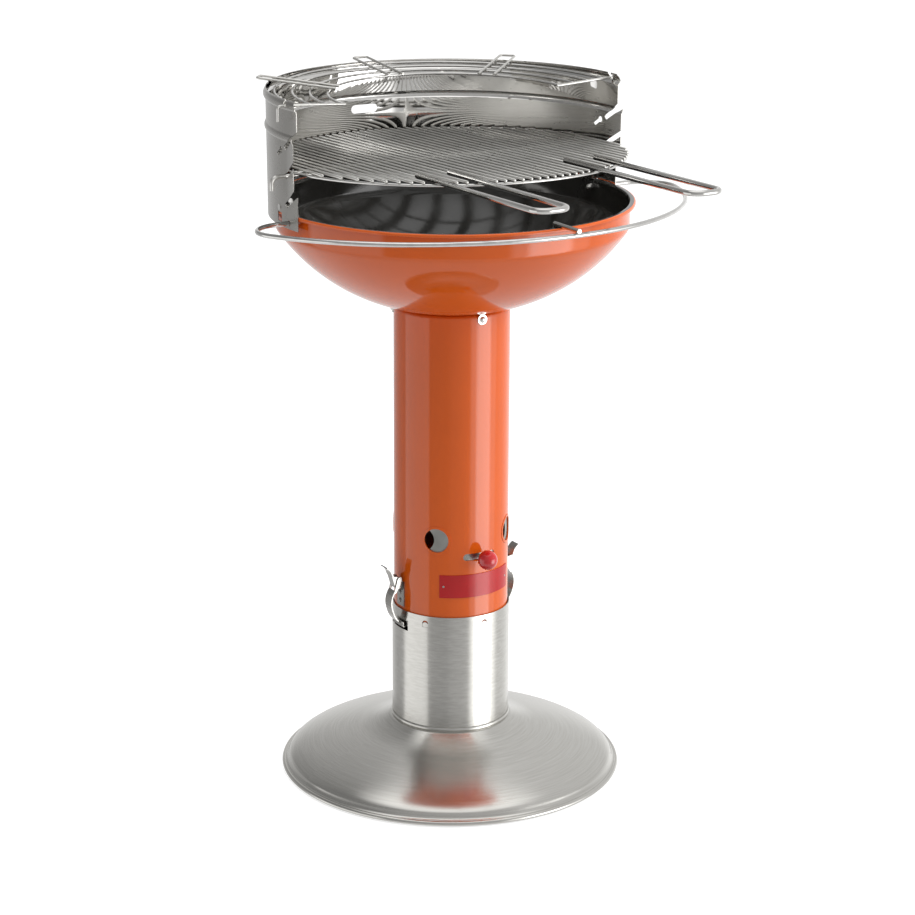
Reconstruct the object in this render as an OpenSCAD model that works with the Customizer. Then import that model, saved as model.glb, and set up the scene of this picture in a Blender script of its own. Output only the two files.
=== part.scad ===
// Charcoal grill on a column: base dish, ash pot, enamelled column and bowl,
// half-round windscreen, lift-out cooking grate, warming rack and wire guard.
// The front is -Y, up is +Z and the origin is on the floor under the column.
// Places round the column are angles from the front, positive towards +X.

/* [Base and ash pot] */
// Outside radius of the base dish
base_r = 240; // [210:1:280]
// Height of the base dish
base_h = 74; // [60:1:95]
// Sheet thickness of the dish, its bottom plate and the pot
base_sheet = 1.2; // [0.8:0.1:2]
// Diameter of the rolled rim of the dish
base_roll_d = 7; // [5:0.5:9]
// Height of the ash pot
pot_h = 169.4; // [150:0.2:200]
// Height of the bead round the foot of the pot
collar_h = 6; // [3:0.5:12]
// Thickness of that bead
collar_t = 2; // [1:0.2:4]
// Number of lanced tongues that carry the column
tongue_n = 6; // [3:1:8]
// Width of a tongue and of the arch above it
tongue_w = 9; // [6:0.5:14]
// Distance from the pot's rim down to the column's foot
tongue_drop = 15.4; // [12:0.2:24]
// Angle of the first tongue from the front
tongue_az = 4.3; // [-10:0.1:10]
// Radius of the circle of screws in the pot's floor
pot_screw_pcr = 48; // [30:1:60]
// Diameter of the screws in the pot's floor
pot_screw_d = 5; // [4:0.5:6]

/* [Column] */
// Outside radius of the column
column_r = 80; // [74:1:90]
// Wall of the column
column_wall = 1.5; // [1:0.1:2.5]
// Length of the column
column_h = 443; // [400:1:520]
// Radius of the turned-in top edge
column_round = 5; // [3:0.5:7]
// Gap between the column and the pot
pot_gap = 1.1; // [0.6:0.1:2]
// Diameter of an air hole
air_hole_d = 34; // [24:1:40]
// Height of the air holes above the column's foot
air_hole_up = 126.3; // [110:0.1:160]
// Height of the raised ring round an air hole
air_ring_t = 0.7; // [0.3:0.1:1.5]
// Height of the control slot above the column's foot
slot_up = 102; // [92:1:110]
// Height of the control slot
slot_h = 10; // [8:0.5:12]
// Height of the nameplate
plate_h = 32.7; // [25:0.1:40]
// Height of the nameplate's middle above the column's foot
plate_up = 60.6; // [50:0.1:66]
// Half angle that the nameplate covers
plate_half = 41.5; // [30:0.5:50]
// Thickness of the nameplate
plate_t = 1; // [0.6:0.1:1.5]

/* [Air control] */
// Sheet of the inner sleeve
sleeve_t = 1.2; // [0.8:0.1:2]
// Height of the inner sleeve
sleeve_h = 85; // [78:1:95]
// Angle that the sleeve turns to each side
air_turn = 15; // [10:0.5:16]
// Diameter of the stem
stem_d = 6; // [4:0.5:8]
// Diameter of the ball knob
knob_d = 27; // [20:1:34]
// Radius at which the knob's middle stands
knob_at = 100; // [98:1:112]

/* [Bowl] */
// Outside radius of the bowl's upright band
bowl_r = 240; // [225:1:260]
// Wall of the bowl
bowl_wall = 1.5; // [1:0.1:2.5]
// Rise of the bowl's round part
bowl_rise = 111; // [100:1:130]
// Radius of the bowl's round part
bowl_arc_r = 265.7; // [240:0.1:320]
// Height of the upright band
band_h = 35.5; // [30:0.5:45]
// Width of the lip
lip_w = 7.3; // [6:0.1:9]
// Height of the lip's turned-down edge
lip_turn = 4.7; // [3:0.1:6]
// Length of the neck inside the column
neck_h = 21; // [16:1:30]
// Distance of the neck bolts below the top of the column
neck_bolt_drop = 6.2; // [5.5:0.1:9]
// Diameter of a neck bolt
neck_bolt_d = 6; // [5:0.5:8]
// Diameter of a neck washer
neck_washer_d = 14; // [12:0.5:18]

/* [Charcoal grate] */
// Radius of the charcoal grate's rim
fire_r = 100; // [88:1:120]
// Wire of the rim and rods
fire_d = 6; // [4:0.5:8]
// Pitch of the rods
fire_pitch = 16; // [12:1:25]

/* [Windscreen] */
// Sheet of the windscreen
screen_t = 1; // [0.8:0.1:1.5]
// Height of the windscreen
screen_h = 169.6; // [150:0.1:190]
// Overlap of the windscreen below the lip
screen_drop = 18.5; // [16:0.5:24]
// Angle from the front at which the windscreen starts
screen_az = 84; // [80:0.5:88]
// Height of the top bead
bead_h = 12; // [8:0.5:16]
// Bulge of the top bead
bead_out = 3; // [2:0.1:4]
// Height of the lower bead
rib_h = 10; // [6:0.5:14]
// Bulge of the lower bead
rib_out = 2.2; // [1:0.1:3]
// Distance of the lower bead below the top
rib_drop = 49.6; // [42:0.1:52]
// Slope of the height slots below the level
slot_tilt = 33; // [25:1:40]
// Width of the height slots
slot_w = 7; // [6.8:0.1:8]
// Step between the three heights of the cooking grate
slot_step = 38; // [34:0.5:40]
// Length of the keyhole's narrow end
keyhole_l = 13; // [10:1:18]
// Width of the hand slot at the back
hand_slot_w = 42; // [30:1:60]
// Height of the hand slot
hand_slot_h = 12; // [8:1:16]

/* [Guard ring] */
// Wire of the guard ring
guard_d = 6.5; // [5:0.5:8]
// Radius of the guard's front
guard_front_r = 345; // [335:1:355]
// How far the middle of that radius lies behind the column's axis
guard_back = 65; // [55:1:75]
// Radius of the guard's corners
guard_corner_r = 48; // [35:1:60]
// Place of the guard's legs behind the column's axis
guard_leg_y = 8; // [5:0.5:10]
// Distance of the legs below the lip's top
guard_drop = 10.7; // [10:0.1:12]
// Rise of the guard towards the front, in degrees
guard_tilt = 1.43; // [1.2:0.01:1.7]
// Sideways shift of the guard in its holes
guard_shift = 10.5; // [-12:0.5:12]
// Turn of the guard in its holes, in degrees
guard_turn = 2.4; // [-2.5:0.1:2.5]
// Wire of the front strut
strut_d = 6; // [4:0.5:8]
// Place of the strut right of the middle
strut_x = 19; // [-60:1:60]

/* [Cooking grate] */
// Gap between the grate's rim and the windscreen
grate_gap = 7.2; // [6.8:0.1:12]
// Wire of the rim
grate_rim_d = 4; // [3.5:0.5:5]
// Rod diameter
grate_rod_d = 4; // [3:0.5:5]
// Pitch of the rods
grate_pitch = 11.75; // [11:0.25:16]
// Wire of the carrier bar with its side hooks
carrier_d = 6; // [5:0.1:6.4]
// Place of the carrier behind the middle
carrier_y = 3; // [0:0.5:5]
// Distance of the grate's carrier above the lip
carrier_up = 50.5; // [48:0.5:56]
// How far the side hooks stand outside the windscreen
hook_out = 21.5; // [18:0.5:30]
// Length of the bent-down ends of the side hooks
hook_h = 17; // [10:1:25]
// Wire of the handles
handle_d = 7.5; // [6:0.5:9]
// Number of the rod, from the middle, that a handle's inner leg continues
handle_rod = 7; // [4:1:8]
// Rod pitches between the two legs of a handle
handle_rods = 4; // [3:1:5]
// Reach of the handles in front of the middle
handle_reach = 442; // [400:1:460]
// Length of a handle
handle_l = 291; // [250:1:310]
// Bend radius of the handles
handle_bend = 18; // [12:0.5:20]
// Droop of the handles against the grate, in degrees
handle_droop = 0.7; // [0:0.1:1]
// Tilt of the grate in its slots, front up, in degrees
grate_tilt = 1.5; // [0:0.1:1.6]
// Sideways shift of the grate on its carrier
grate_shift = -3.3; // [-4:0.1:4]
// Shift of the grate towards the back
grate_back = 4; // [0:0.5:4]

/* [Warming rack] */
// Wire of the rack
rack_d = 3.5; // [3:0.5:4.5]
// Inner radius of the rack
rack_in_r = 167; // [150:1:185]
// Number of arcs
rack_n = 4; // [3:1:6]
// Gap between the outer arc and the windscreen
rack_gap = 7.8; // [5:0.1:12]
// Rise of the rack from its inner to its outer arc
rack_rise = 4.5; // [3:0.1:7]
// Tilt of the arcs, back up, in degrees
rack_tilt = 1.1; // [0:0.1:1.2]
// Place of the rack's end bars behind the middle
rack_bar_y = -2; // [-5:0.5:4]
// Width of the notches for the end bars
rack_notch_w = 7; // [5.5:0.5:9]
// Depth of those notches
rack_notch_h = 9.6; // [8:0.1:12]
// Reach of the hangers over the windscreen
hanger_out = 17; // [12:1:30]
// Width of a hanger
hanger_w = 22; // [16:1:40]

/* [Latches] */
// Width of a latch lever's grip and of the hook strap
latch_w = 17.6; // [17:0.1:20]
// Sheet of the latches
latch_t = 1.5; // [1.2:0.1:1.8]
// Diameter of the latch pins
latch_pin_d = 4; // [3:0.2:4.4]
// Height of the lever's pivot above the column's foot
pivot_up = 51; // [49:0.5:54]
// Distance of the pivot from the column's wall
pivot_out = 8; // [7.5:0.1:9]
// Width of the hook's cross end
cross_w = 30; // [24:1:34]

/* [Hidden] */
$fn = 64;
// Clearance that keeps two pieces apart
apart = 0.3;
// Radial clearance of a running pin
run = 0.05;
// Clearance of two pieces of one assembly that lie on each other
seat = 0.02;
// Extra length of a cut, so that it goes right through
cut = 1;
// How much wider than its wire the ball in a bend is
weld = 0.04;
steel = [0.66, 0.66, 0.65];
dark_steel = [0.45, 0.45, 0.44];
enamel = [0.86, 0.33, 0.12];
red = [0.72, 0.05, 0.06];
black = [0.1, 0.1, 0.1];

// Heights and radii of the base, pot and column
pot_r = column_r + pot_gap + base_sheet;
pot_z = base_h;
pot_top = pot_z + pot_h;
column_z = pot_top - tongue_drop;
column_top = column_z + column_h;
column_in = column_r - column_wall;
seat_r = column_r - column_round;
slot_z = column_z + slot_up;
air_z = column_z + air_hole_up;
air_azs = [-135, -45, 45, 135];
plate_z = column_z + plate_up;
pot_screw_n = 3;
latch_azs = [-90, 90];

// The air sleeve and its stops
sleeve_r = column_in - run;
sleeve_z = air_z - air_hole_d / 2 - sleeve_h * 0.44;
sleeve_stop_n = 3;
sleeve_stop_h = 4;
sleeve_stop_in = 3;
stem_in = 7;
stem_screwed = 8;

// The bowl: its round part meets the neck below and the band above
bowl_z = column_top;
band_z = bowl_z + bowl_rise;
lip_z = band_z + band_h;
lip_r = bowl_r + lip_w;
neck_r = seat_r - 0.1;
bowl_chord = [bowl_r - seat_r, bowl_rise];
bowl_mid = [(bowl_r + seat_r) / 2, bowl_z + bowl_rise / 2];
bowl_rise_r = sqrt(pow(bowl_arc_r, 2) - pow(norm(bowl_chord) / 2, 2));
bowl_centre = bowl_mid + bowl_rise_r * [-bowl_chord[1], bowl_chord[0]] / norm(bowl_chord);
bowl_a0 = atan2(bowl_z - bowl_centre[1], seat_r - bowl_centre[0]);
bowl_a1 = atan2(band_z - bowl_centre[1], bowl_r - bowl_centre[0]);
neck_z = bowl_z - neck_h;
neck_bolt_z = column_top - neck_bolt_drop;
neck_azs = [0, 120, 240];

// The windscreen stands outside the lip
screen_in = lip_r + 0.2;
screen_r = screen_in + screen_t;
screen_z = lip_z - screen_drop;
screen_top = screen_z + screen_h;
bead_z = screen_top - bead_h / 2 - 1.6;
rib_z = screen_top - rib_drop;
edge_y = -screen_r * cos(screen_az);
hand_slot_z = screen_top - 66.6;
bracket_az = 96;
bracket_w = 14;
bracket_h = 12;
bracket_in = bowl_r - bowl_wall - 2;
wing_z = lip_z + 6;
wing_turn = 50;
wing_d = 5;
window_w = 13.5;
window_h = 12.4;

// The guard ring
guard_z = lip_z - guard_drop;
guard_corner_y = guard_leg_y - guard_corner_r;
guard_corner_x = sqrt(pow(guard_front_r - guard_corner_r, 2) - pow(guard_corner_y - guard_back, 2));
guard_nut_x = sqrt(pow(bowl_r - bowl_wall, 2) - pow(guard_leg_y + 12, 2)) - 0.1;
guard_end_x = guard_nut_x - guard_d * 0.75;

// The cooking grate: rods on the rim, and the rim on the carrier
grate_rim_r = screen_in - grate_gap - grate_rim_d / 2;
grate_edge_r = grate_rim_r + grate_rim_d / 2;
carrier_z = lip_z + carrier_up;
grate_rim_z = carrier_z + carrier_d / 2 + grate_rim_d / 2;
grate_rod_z = grate_rim_z + grate_rim_d / 2 + grate_rod_d / 2;
grate_bar_z = grate_rod_z - grate_rod_d / 2 - grate_rim_d / 2;
grate_bar_y = -6;
handle_end = handle_l - handle_reach;
handle_z = grate_rim_z + grate_rim_d / 2 + handle_d / 2 + 0.02;
hook_x = screen_r + hook_out;
hook_bend = 8;

// The charcoal grate lies on the bowl's inner wall
fire_touch = bowl_arc_r - bowl_wall - fire_d / 2 - apart;
fire_z = bowl_centre[1] - sqrt(pow(fire_touch, 2) - pow(fire_r - bowl_centre[0], 2));
fire_rod_d = 5;
fire_rod_z = fire_z + fire_d / 2 + fire_rod_d / 2;

// The warming rack: end bars in the notches, hangers on the top edge
rack_out_r = screen_in - rack_gap - rack_d / 2;
rack_notch_z = screen_top - rack_notch_h;
rack_z = rack_notch_z + apart + rack_d / 2;
rack_slope = atan(rack_rise / (rack_out_r - rack_in_r));
rack_hook_x = screen_r + bead_out + 11;
rack_hook_h = 20;
hanger_azs = [-129.5, 132.5, 179.5];
hanger_z = screen_top + apart + rack_d / 2;
hanger_in_r = rack_in_r - 10;

// The latches, drawn on the +X side: o is the distance from the axis
pivot = [column_r + pivot_out, column_z + pivot_up];
hook_pivot = pivot + [-1.5, 9];
base_t = latch_t;
base_o = column_r + 0.1;
base_w = 19;
base_bottom = column_z + 20;
base_top = pivot[1] + 5;
ear_y = 3.7;
cheek_y = ear_y + latch_t + apart;
arm_y = cheek_y + latch_t + apart;
hook_slot_top = column_z - 6;
hook_slot_h = 7;
hook_slot_half = cross_w / 2 + 4;
rivet_zs = [column_z + 28, column_z + 40];
rivet_d = 4;
rivet_head_d = 7;
hook_tongue_z = hook_slot_top - apart - latch_t;

// Points along a curve with three control points
function bend3(a, b, c, n) = [for (i = [0:n]) let (t = i / n)
  (1 - t) * (1 - t) * a + 2 * t * (1 - t) * b + t * t * c];
// Points along an arc
function arc(c, r, a0, a1, n) = [for (i = [0:n]) let (a = a0 + (a1 - a0) * i / n)
  [c[0] + r * cos(a), c[1] + r * sin(a)]];
function back(p) = [for (i = [len(p) - 1:-1:0]) p[i]];
// The other side of a sheet whose one side runs along p
function other_side(p, t) = [for (i = [0:len(p) - 1])
  let (a = p[max(i - 1, 0)], b = p[min(i + 1, len(p) - 1)], d = (b - a) / norm(b - a))
  p[i] + t * [-d[1], d[0]]];
// Closed outline of a sheet of thickness t along p
function sheet(p, t) = concat(p, back(other_side(p, t)));
// Half length of a chord across a circle
function chord(r, x) = sqrt(r * r - x * x);
// Outward bulge of a bead: an arc through its two edges and its crown
function bulge(r, z, h, out, n) = let (br = (h * h / 4 + out * out) / (2 * out), half = asin(h / 2 / br))
  arc([r + out - br, z], br, -half, half, n);

// Turn a shape to an angle from the front; it is drawn towards -Y
module at_az(az) {
  rotate([0, 0, az]) children();
}

// A rod between two points
module rod(a, b, d) {
  v = b - a;
  translate(a) rotate([0, acos(v[2] / norm(v)), atan2(v[1], v[0])]) cylinder(h = norm(v), d = d);
}

// The ball that closes a wire at a bend
module ball(p, d) {
  translate(p) sphere(d = d + weld);
}

// A cylinder that points away from the axis, towards -Y, from radius r0 to r1
module radial(r0, r1, z, d) {
  translate([0, -r0, z]) rotate([90, 0, 0]) cylinder(h = r1 - r0, d = d);
}

// A hexagonal nut across flats w that points away from the axis
module radial_nut(r0, r1, z, w) {
  translate([0, -r0, z]) rotate([90, 0, 0]) cylinder(h = r1 - r0, d = w / cos(30), $fn = 6);
}

// A bent wire in the XY plane: straight runs and round corners
module wire(path, r, d) {
  n = len(path);
  angles = [for (i = [0:n - 1]) i == 0 || i == n - 1 ? 180 :
    let (u = path[i - 1] - path[i], v = path[i + 1] - path[i])
    acos(u * v / norm(u) / norm(v))];
  trims = [for (a = angles) a == 180 ? 0 : r / tan(a / 2)];
  for (i = [0:n - 2]) {
    dir = (path[i + 1] - path[i]) / norm(path[i + 1] - path[i]);
    a = path[i] + dir * trims[i];
    b = path[i + 1] - dir * trims[i + 1];
    rod([a[0], a[1], 0], [b[0], b[1], 0], d);
    if (i > 0) ball([a[0], a[1], 0], d);
    if (i < n - 2) ball([b[0], b[1], 0], d);
  }
  for (i = [1:n - 2]) {
    u = (path[i - 1] - path[i]) / norm(path[i - 1] - path[i]);
    v = (path[i + 1] - path[i]) / norm(path[i + 1] - path[i]);
    c = path[i] + (u + v) / norm(u + v) * r / sin(angles[i] / 2);
    left = u[0] * v[1] - u[1] * v[0] < 0;
    from = path[i] + (left ? u : v) * trims[i] - c;
    translate([c[0], c[1], 0])
      rotate([0, 0, atan2(from[1], from[0])])
        rotate_extrude(angle = 180 - angles[i])
          translate([r, 0]) circle(d = d);
  }
}

// A dome nut that opens towards -Y and stands on the plane y = 0
module dome_nut(d, w) {
  difference() {
    union() {
      rotate([-90, 0, 0]) cylinder(h = d * 0.8, d = w / cos(30), $fn = 6);
      translate([0, d * 0.8, 0]) intersection() {
        sphere(d = w * 0.92);
        translate([-w, 0, -w]) cube([2 * w, w, 2 * w]);
      }
    }
    translate([0, -cut, 0]) rotate([-90, 0, 0]) cylinder(h = d * 0.8 + cut, d = d + 2 * seat);
  }
}

// Outline of the dish from the pot's foot to the rolled rim
function dish_line() = let (
    top = pot_r + collar_t,
    knee = top + (base_r - top) * 0.294,
    knee_z = base_h * 0.736,
    foot = [base_r - 0.3, base_roll_d * 0.6])
  concat([[0, base_h]],
    bend3([top, base_h], [top + (knee - top) * 0.43, knee_z + (base_h - knee_z) * 0.35], [knee, knee_z], 8),
    bend3([knee, knee_z], [base_r - 8, base_h * 0.378], foot, 12));

module base_dish() {
  color(steel)
  difference() {
    union() {
      rotate_extrude($fn = 128) polygon(sheet(dish_line(), -base_sheet));
      rotate_extrude($fn = 128) translate([base_r - base_roll_d / 2, base_roll_d / 2]) circle(d = base_roll_d);
    }
    for (i = [0:pot_screw_n - 1])
      rotate([0, 0, i * 360 / pot_screw_n])
        translate([0, -pot_screw_pcr, base_h - 10]) cylinder(h = 20, d = pot_screw_d + 2 * seat);
  }
}

// The bottom plate lies inside the rolled rim and stands on the floor
module base_plate() {
  color(dark_steel)
  cylinder(h = base_sheet, r = base_r - base_roll_d + 0.6, $fn = 128);
}

module pot_collar() {
  color(steel)
  rotate_extrude($fn = 96) {
    translate([pot_r + seat, pot_z]) square([collar_t * 0.5, collar_h]);
    intersection() {
      translate([pot_r + collar_t * 0.5, pot_z + collar_h / 2]) bead_segment(collar_t * 0.5, collar_h);
      translate([pot_r + collar_t * 0.4, pot_z]) square([collar_t, collar_h]);
    }
  }
}

// A circle segment that bulges by t over the height h, drawn at the origin
module bead_segment(t, h) {
  r = (h * h / 4 + t * t) / (2 * t);
  translate([t - r, 0]) circle(r = r, $fn = 96);
}

module tongue_arch(grow) {
  translate([0, -pot_r, column_z + tongue_w / 2]) rotate([90, 0, 0])
    cylinder(h = 12, d = tongue_w + grow, center = true);
  translate([-(tongue_w + grow) / 2, -pot_r - 6, column_z - 1]) cube([tongue_w + grow, 12, 1 + tongue_w / 2]);
}

module ash_pot() {
  pot_in = pot_r - base_sheet;
  color(steel)
  difference() {
    union() {
      difference() {
        translate([0, 0, pot_z]) cylinder(h = pot_h, r = pot_r, $fn = 128);
        translate([0, 0, pot_z + base_sheet]) cylinder(h = pot_h, r = pot_in, $fn = 128);
        for (i = [0:tongue_n - 1]) at_az(tongue_az + i * 360 / tongue_n) tongue_arch(0);
      }
      for (i = [0:tongue_n - 1])
        at_az(tongue_az + i * 360 / tongue_n)
          translate([-tongue_w / 2, -chord(pot_in, tongue_w / 2) - 0.5, column_z - 2.2])
            cube([tongue_w, 5, 2.2 - seat]);
    }
    for (az = latch_azs) at_az(az) hook_slot();
    for (i = [0:pot_screw_n - 1])
      rotate([0, 0, i * 360 / pot_screw_n])
        translate([0, -pot_screw_pcr, pot_z - cut]) cylinder(h = 10, d = pot_screw_d + 2 * seat);
  }
}

// The slot for the latch's cross end, towards -Y
module hook_slot() {
  translate([-hook_slot_half, -pot_r - 6, hook_slot_top - hook_slot_h])
    cube([2 * hook_slot_half, 16, hook_slot_h]);
}

module pot_screws() {
  color(steel)
  for (i = [0:pot_screw_n - 1])
    rotate([0, 0, i * 360 / pot_screw_n]) translate([0, -pot_screw_pcr, 0]) {
      translate([0, 0, pot_z - base_sheet - 6]) cylinder(h = 6 + 2 * base_sheet, d = pot_screw_d);
      translate([0, 0, pot_z + base_sheet]) cylinder(h = 2.5, d = pot_screw_d * 2);
    }
}

module pot_nuts() {
  color(steel)
  for (i = [0:pot_screw_n - 1])
    rotate([0, 0, i * 360 / pot_screw_n]) translate([0, -pot_screw_pcr, pot_z - base_sheet - 4])
      difference() {
        cylinder(h = 4, d = pot_screw_d * 1.6 / cos(30), $fn = 6);
        translate([0, 0, -cut]) cylinder(h = 4 + 2 * cut, d = pot_screw_d + 2 * seat);
      }
}

module column_tube() {
  in_round = column_round - column_wall;
  wall_line = concat([[column_r, column_z]],
    arc([seat_r, column_top - column_round], column_round, 0, 90, 8),
    [[seat_r, column_top - column_wall]],
    arc([seat_r, column_top - column_round], in_round, 90, 0, 8),
    [[column_in, column_z]]);
  color(enamel)
  difference() {
    union() {
      rotate_extrude($fn = 128) polygon(wall_line);
      for (az = air_azs) at_az(az) intersection() {
        radial(column_r - 20, column_r + 5, air_z, air_hole_d + 7);
        difference() {
          translate([0, 0, air_z - air_hole_d]) cylinder(h = 2 * air_hole_d, r = column_r + air_ring_t, $fn = 128);
          translate([0, 0, air_z - air_hole_d - cut])
            cylinder(h = 2 * air_hole_d + 2 * cut, r = column_r - column_wall / 2, $fn = 128);
        }
      }
      for (i = [0:sleeve_stop_n - 1])
        at_az(60 + i * 120)
          translate([-sleeve_stop_h, -column_in - 0.5, sleeve_z - apart - sleeve_stop_h])
            cube([2 * sleeve_stop_h, sleeve_stop_in + 0.5, sleeve_stop_h]);
    }
    for (az = air_azs) at_az(az) radial(column_r - 30, column_r + 10, air_z, air_hole_d);
    control_slot();
    for (az = neck_azs) at_az(az) radial(column_r - 8, column_r + 8, neck_bolt_z, neck_bolt_d + 2 * seat);
    for (az = latch_azs, z = rivet_zs) at_az(az) radial(column_r - 8, column_r + 8, z, rivet_d + 2 * seat);
    for (s = [-1, 1]) at_az(s * (plate_half - 4)) radial(column_r - 8, column_r + 8, plate_z, 3 + 2 * seat);
  }
}

// The control slot round the front: as long as the stem's travel
module control_slot() {
  half = air_turn - 0.6;
  rotate([0, 0, -90 - half]) rotate_extrude(angle = 2 * half, $fn = 128)
    translate([column_r - 20, slot_z - slot_h / 2]) square([40, slot_h]);
  for (s = [-1, 1]) at_az(s * half) radial(column_r - 20, column_r + 20, slot_z, slot_h);
}

module nameplate() {
  plate_in = column_r + 0.05;
  color(red)
  difference() {
    rotate([0, 0, -90 - plate_half]) rotate_extrude(angle = 2 * plate_half, $fn = 128)
      translate([plate_in, plate_z - plate_h / 2]) square([plate_t, plate_h]);
    for (s = [-1, 1]) at_az(s * (plate_half - 4)) radial(column_r - 8, column_r + 8, plate_z, 3 + 2 * seat);
  }
}

// Flush rivets that hold the nameplate
module nameplate_rivets() {
  color(red)
  for (s = [-1, 1]) at_az(s * (plate_half - 4)) {
    radial(column_in - 2, column_r + plate_t, plate_z, 3);
    radial(column_in - 2, column_in - 0.6, plate_z, 5);
  }
}

module air_sleeve() {
  color(dark_steel)
  difference() {
    translate([0, 0, sleeve_z]) cylinder(h = sleeve_h, r = sleeve_r, $fn = 128);
    translate([0, 0, sleeve_z - cut]) cylinder(h = sleeve_h + 2 * cut, r = sleeve_r - sleeve_t, $fn = 128);
    for (az = air_azs) at_az(az - air_turn) radial(column_r - 30, column_r + 10, air_z, air_hole_d);
    radial(column_r - 30, column_r + 10, slot_z, stem_d + 2 * seat);
  }
}

module air_stem() {
  color(steel)
  radial(sleeve_r - sleeve_t - stem_in, knob_at - knob_d / 2 + stem_screwed, slot_z, stem_d);
}

module air_nut() {
  flat_r = chord(sleeve_r - sleeve_t, 5.5);
  color(steel)
  difference() {
    radial_nut(flat_r - 5, flat_r - 0.05, slot_z, 10);
    radial(flat_r - 10, column_r, slot_z, stem_d + 2 * seat);
  }
}

module air_knob() {
  color(red)
  difference() {
    translate([0, -knob_at, slot_z]) sphere(d = knob_d);
    radial(knob_at - knob_d, knob_at - knob_d / 2 + stem_screwed, slot_z, stem_d + 2 * seat);
  }
}

module neck_bolts() {
  washer_top = column_r + 1.5;
  color(steel)
  for (az = neck_azs) at_az(az) {
    radial(neck_r - bowl_wall - 6, washer_top, neck_bolt_z, neck_bolt_d);
    intersection() {
      translate([0, -washer_top + 2.2, neck_bolt_z]) sphere(d = neck_bolt_d * 1.7);
      translate([-10, -washer_top - 10, neck_bolt_z - 10]) cube([20, 10, 20]);
    }
  }
}

module neck_washers() {
  color(steel)
  for (az = neck_azs) at_az(az) difference() {
    radial(column_r - 1, column_r + 1.5, neck_bolt_z, neck_washer_d);
    translate([0, 0, neck_bolt_z - 20]) cylinder(h = 40, r = column_r, $fn = 128);
    radial(column_r - 8, column_r + 8, neck_bolt_z, neck_bolt_d + 2 * seat);
  }
}

// Spacers between the bowl's neck and the column's wall, cut to its turned-in top
module neck_spacers() {
  gap = 0.1;
  in_round = column_round - column_wall - gap;
  room = concat([[neck_r + seat, neck_z], [column_in - gap, neck_z]],
    arc([seat_r, column_top - column_round], in_round, 0, 90, 8),
    [[neck_r + seat, column_top - column_wall - gap]]);
  color(steel)
  for (az = neck_azs) at_az(az) difference() {
    intersection() {
      radial(neck_r - 5, column_r, neck_bolt_z, neck_bolt_d + 3);
      rotate_extrude($fn = 128) polygon(room);
    }
    radial(neck_r - 8, column_r + 8, neck_bolt_z, neck_bolt_d + 2 * seat);
  }
}

module neck_nuts() {
  flat_r = chord(neck_r - bowl_wall, 5.5);
  color(steel)
  for (az = neck_azs) at_az(az) difference() {
    radial_nut(flat_r - 4.5, flat_r - 0.05, neck_bolt_z, 10);
    radial(flat_r - 10, column_r, neck_bolt_z, neck_bolt_d + 2 * seat);
  }
}

module bowl() {
  in_arc_r = bowl_arc_r - bowl_wall;
  band_in = bowl_r - bowl_wall;
  in_a1 = -acos((band_in - bowl_centre[0]) / in_arc_r);
  in_a0 = -acos((neck_r - bowl_wall - bowl_centre[0]) / in_arc_r);
  line = concat(
    [[neck_r, neck_z], [neck_r, bowl_z]],
    arc(bowl_centre, bowl_arc_r, bowl_a0, bowl_a1, 20),
    [[bowl_r, lip_z - bowl_wall], [lip_r - bowl_wall, lip_z - bowl_wall],
      [lip_r - bowl_wall, lip_z - lip_turn], [lip_r, lip_z - lip_turn],
      [lip_r, lip_z - 1], [lip_r - 1, lip_z], [band_in, lip_z]],
    arc(bowl_centre, in_arc_r, in_a1, in_a0, 20),
    [[neck_r - bowl_wall, neck_z]]);
  color(enamel)
  difference() {
    rotate_extrude($fn = 128) polygon(line);
    for (az = neck_azs) at_az(az) radial(neck_r - 8, column_r, neck_bolt_z, neck_bolt_d + 2 * seat);
    guard_legs(guard_d + 1);
  }
}

module charcoal_rim() {
  color(dark_steel)
  rotate_extrude() translate([fire_r, fire_z]) circle(d = fire_d);
}

module charcoal_rods() {
  n = floor((fire_r - 4) / fire_pitch);
  color(dark_steel)
  for (i = [-n:n]) {
    half = chord(fire_r, i * fire_pitch);
    rod([i * fire_pitch, -half, fire_rod_z], [i * fire_pitch, half, fire_rod_z], fire_rod_d);
  }
}

// Sheet outline of the windscreen with its two beads
function screen_line() = concat(
  [[screen_r, screen_z]],
  bulge(screen_r, rib_z, rib_h, rib_out, 6),
  bulge(screen_r, bead_z, bead_h, bead_out, 8),
  [[screen_r, screen_top]]);

// One side's height slots, drawn in the YZ plane
module edge_cuts() {
  end_gap = carrier_d / 2 + apart;
  for (i = [-1:1]) {
    translate([carrier_y, carrier_z + i * slot_step]) rotate([0, 0, -slot_tilt])
      translate([-60, -slot_w / 2]) square([60 + end_gap, slot_w]);
  }
}

// Keyhole behind the top slot, drawn in the YZ plane
module keyhole() {
  head = [carrier_y + 14, carrier_z + slot_step - 5];
  translate(head) circle(d = 8.5);
  translate(head) rotate([0, 0, -slot_tilt]) translate([0, -2.5]) square([keyhole_l, 5]);
  translate(head) rotate([0, 0, -slot_tilt]) translate([keyhole_l, 0]) circle(d = 5);
}

// Cut a YZ shape through the windscreen's wall on both sides
module side_cut() {
  for (s = [-1, 1])
    translate([s > 0 ? screen_r - 30 : -screen_r - 20, 0, 0])
      rotate([90, 0, 90]) linear_extrude(50) children();
}

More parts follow.
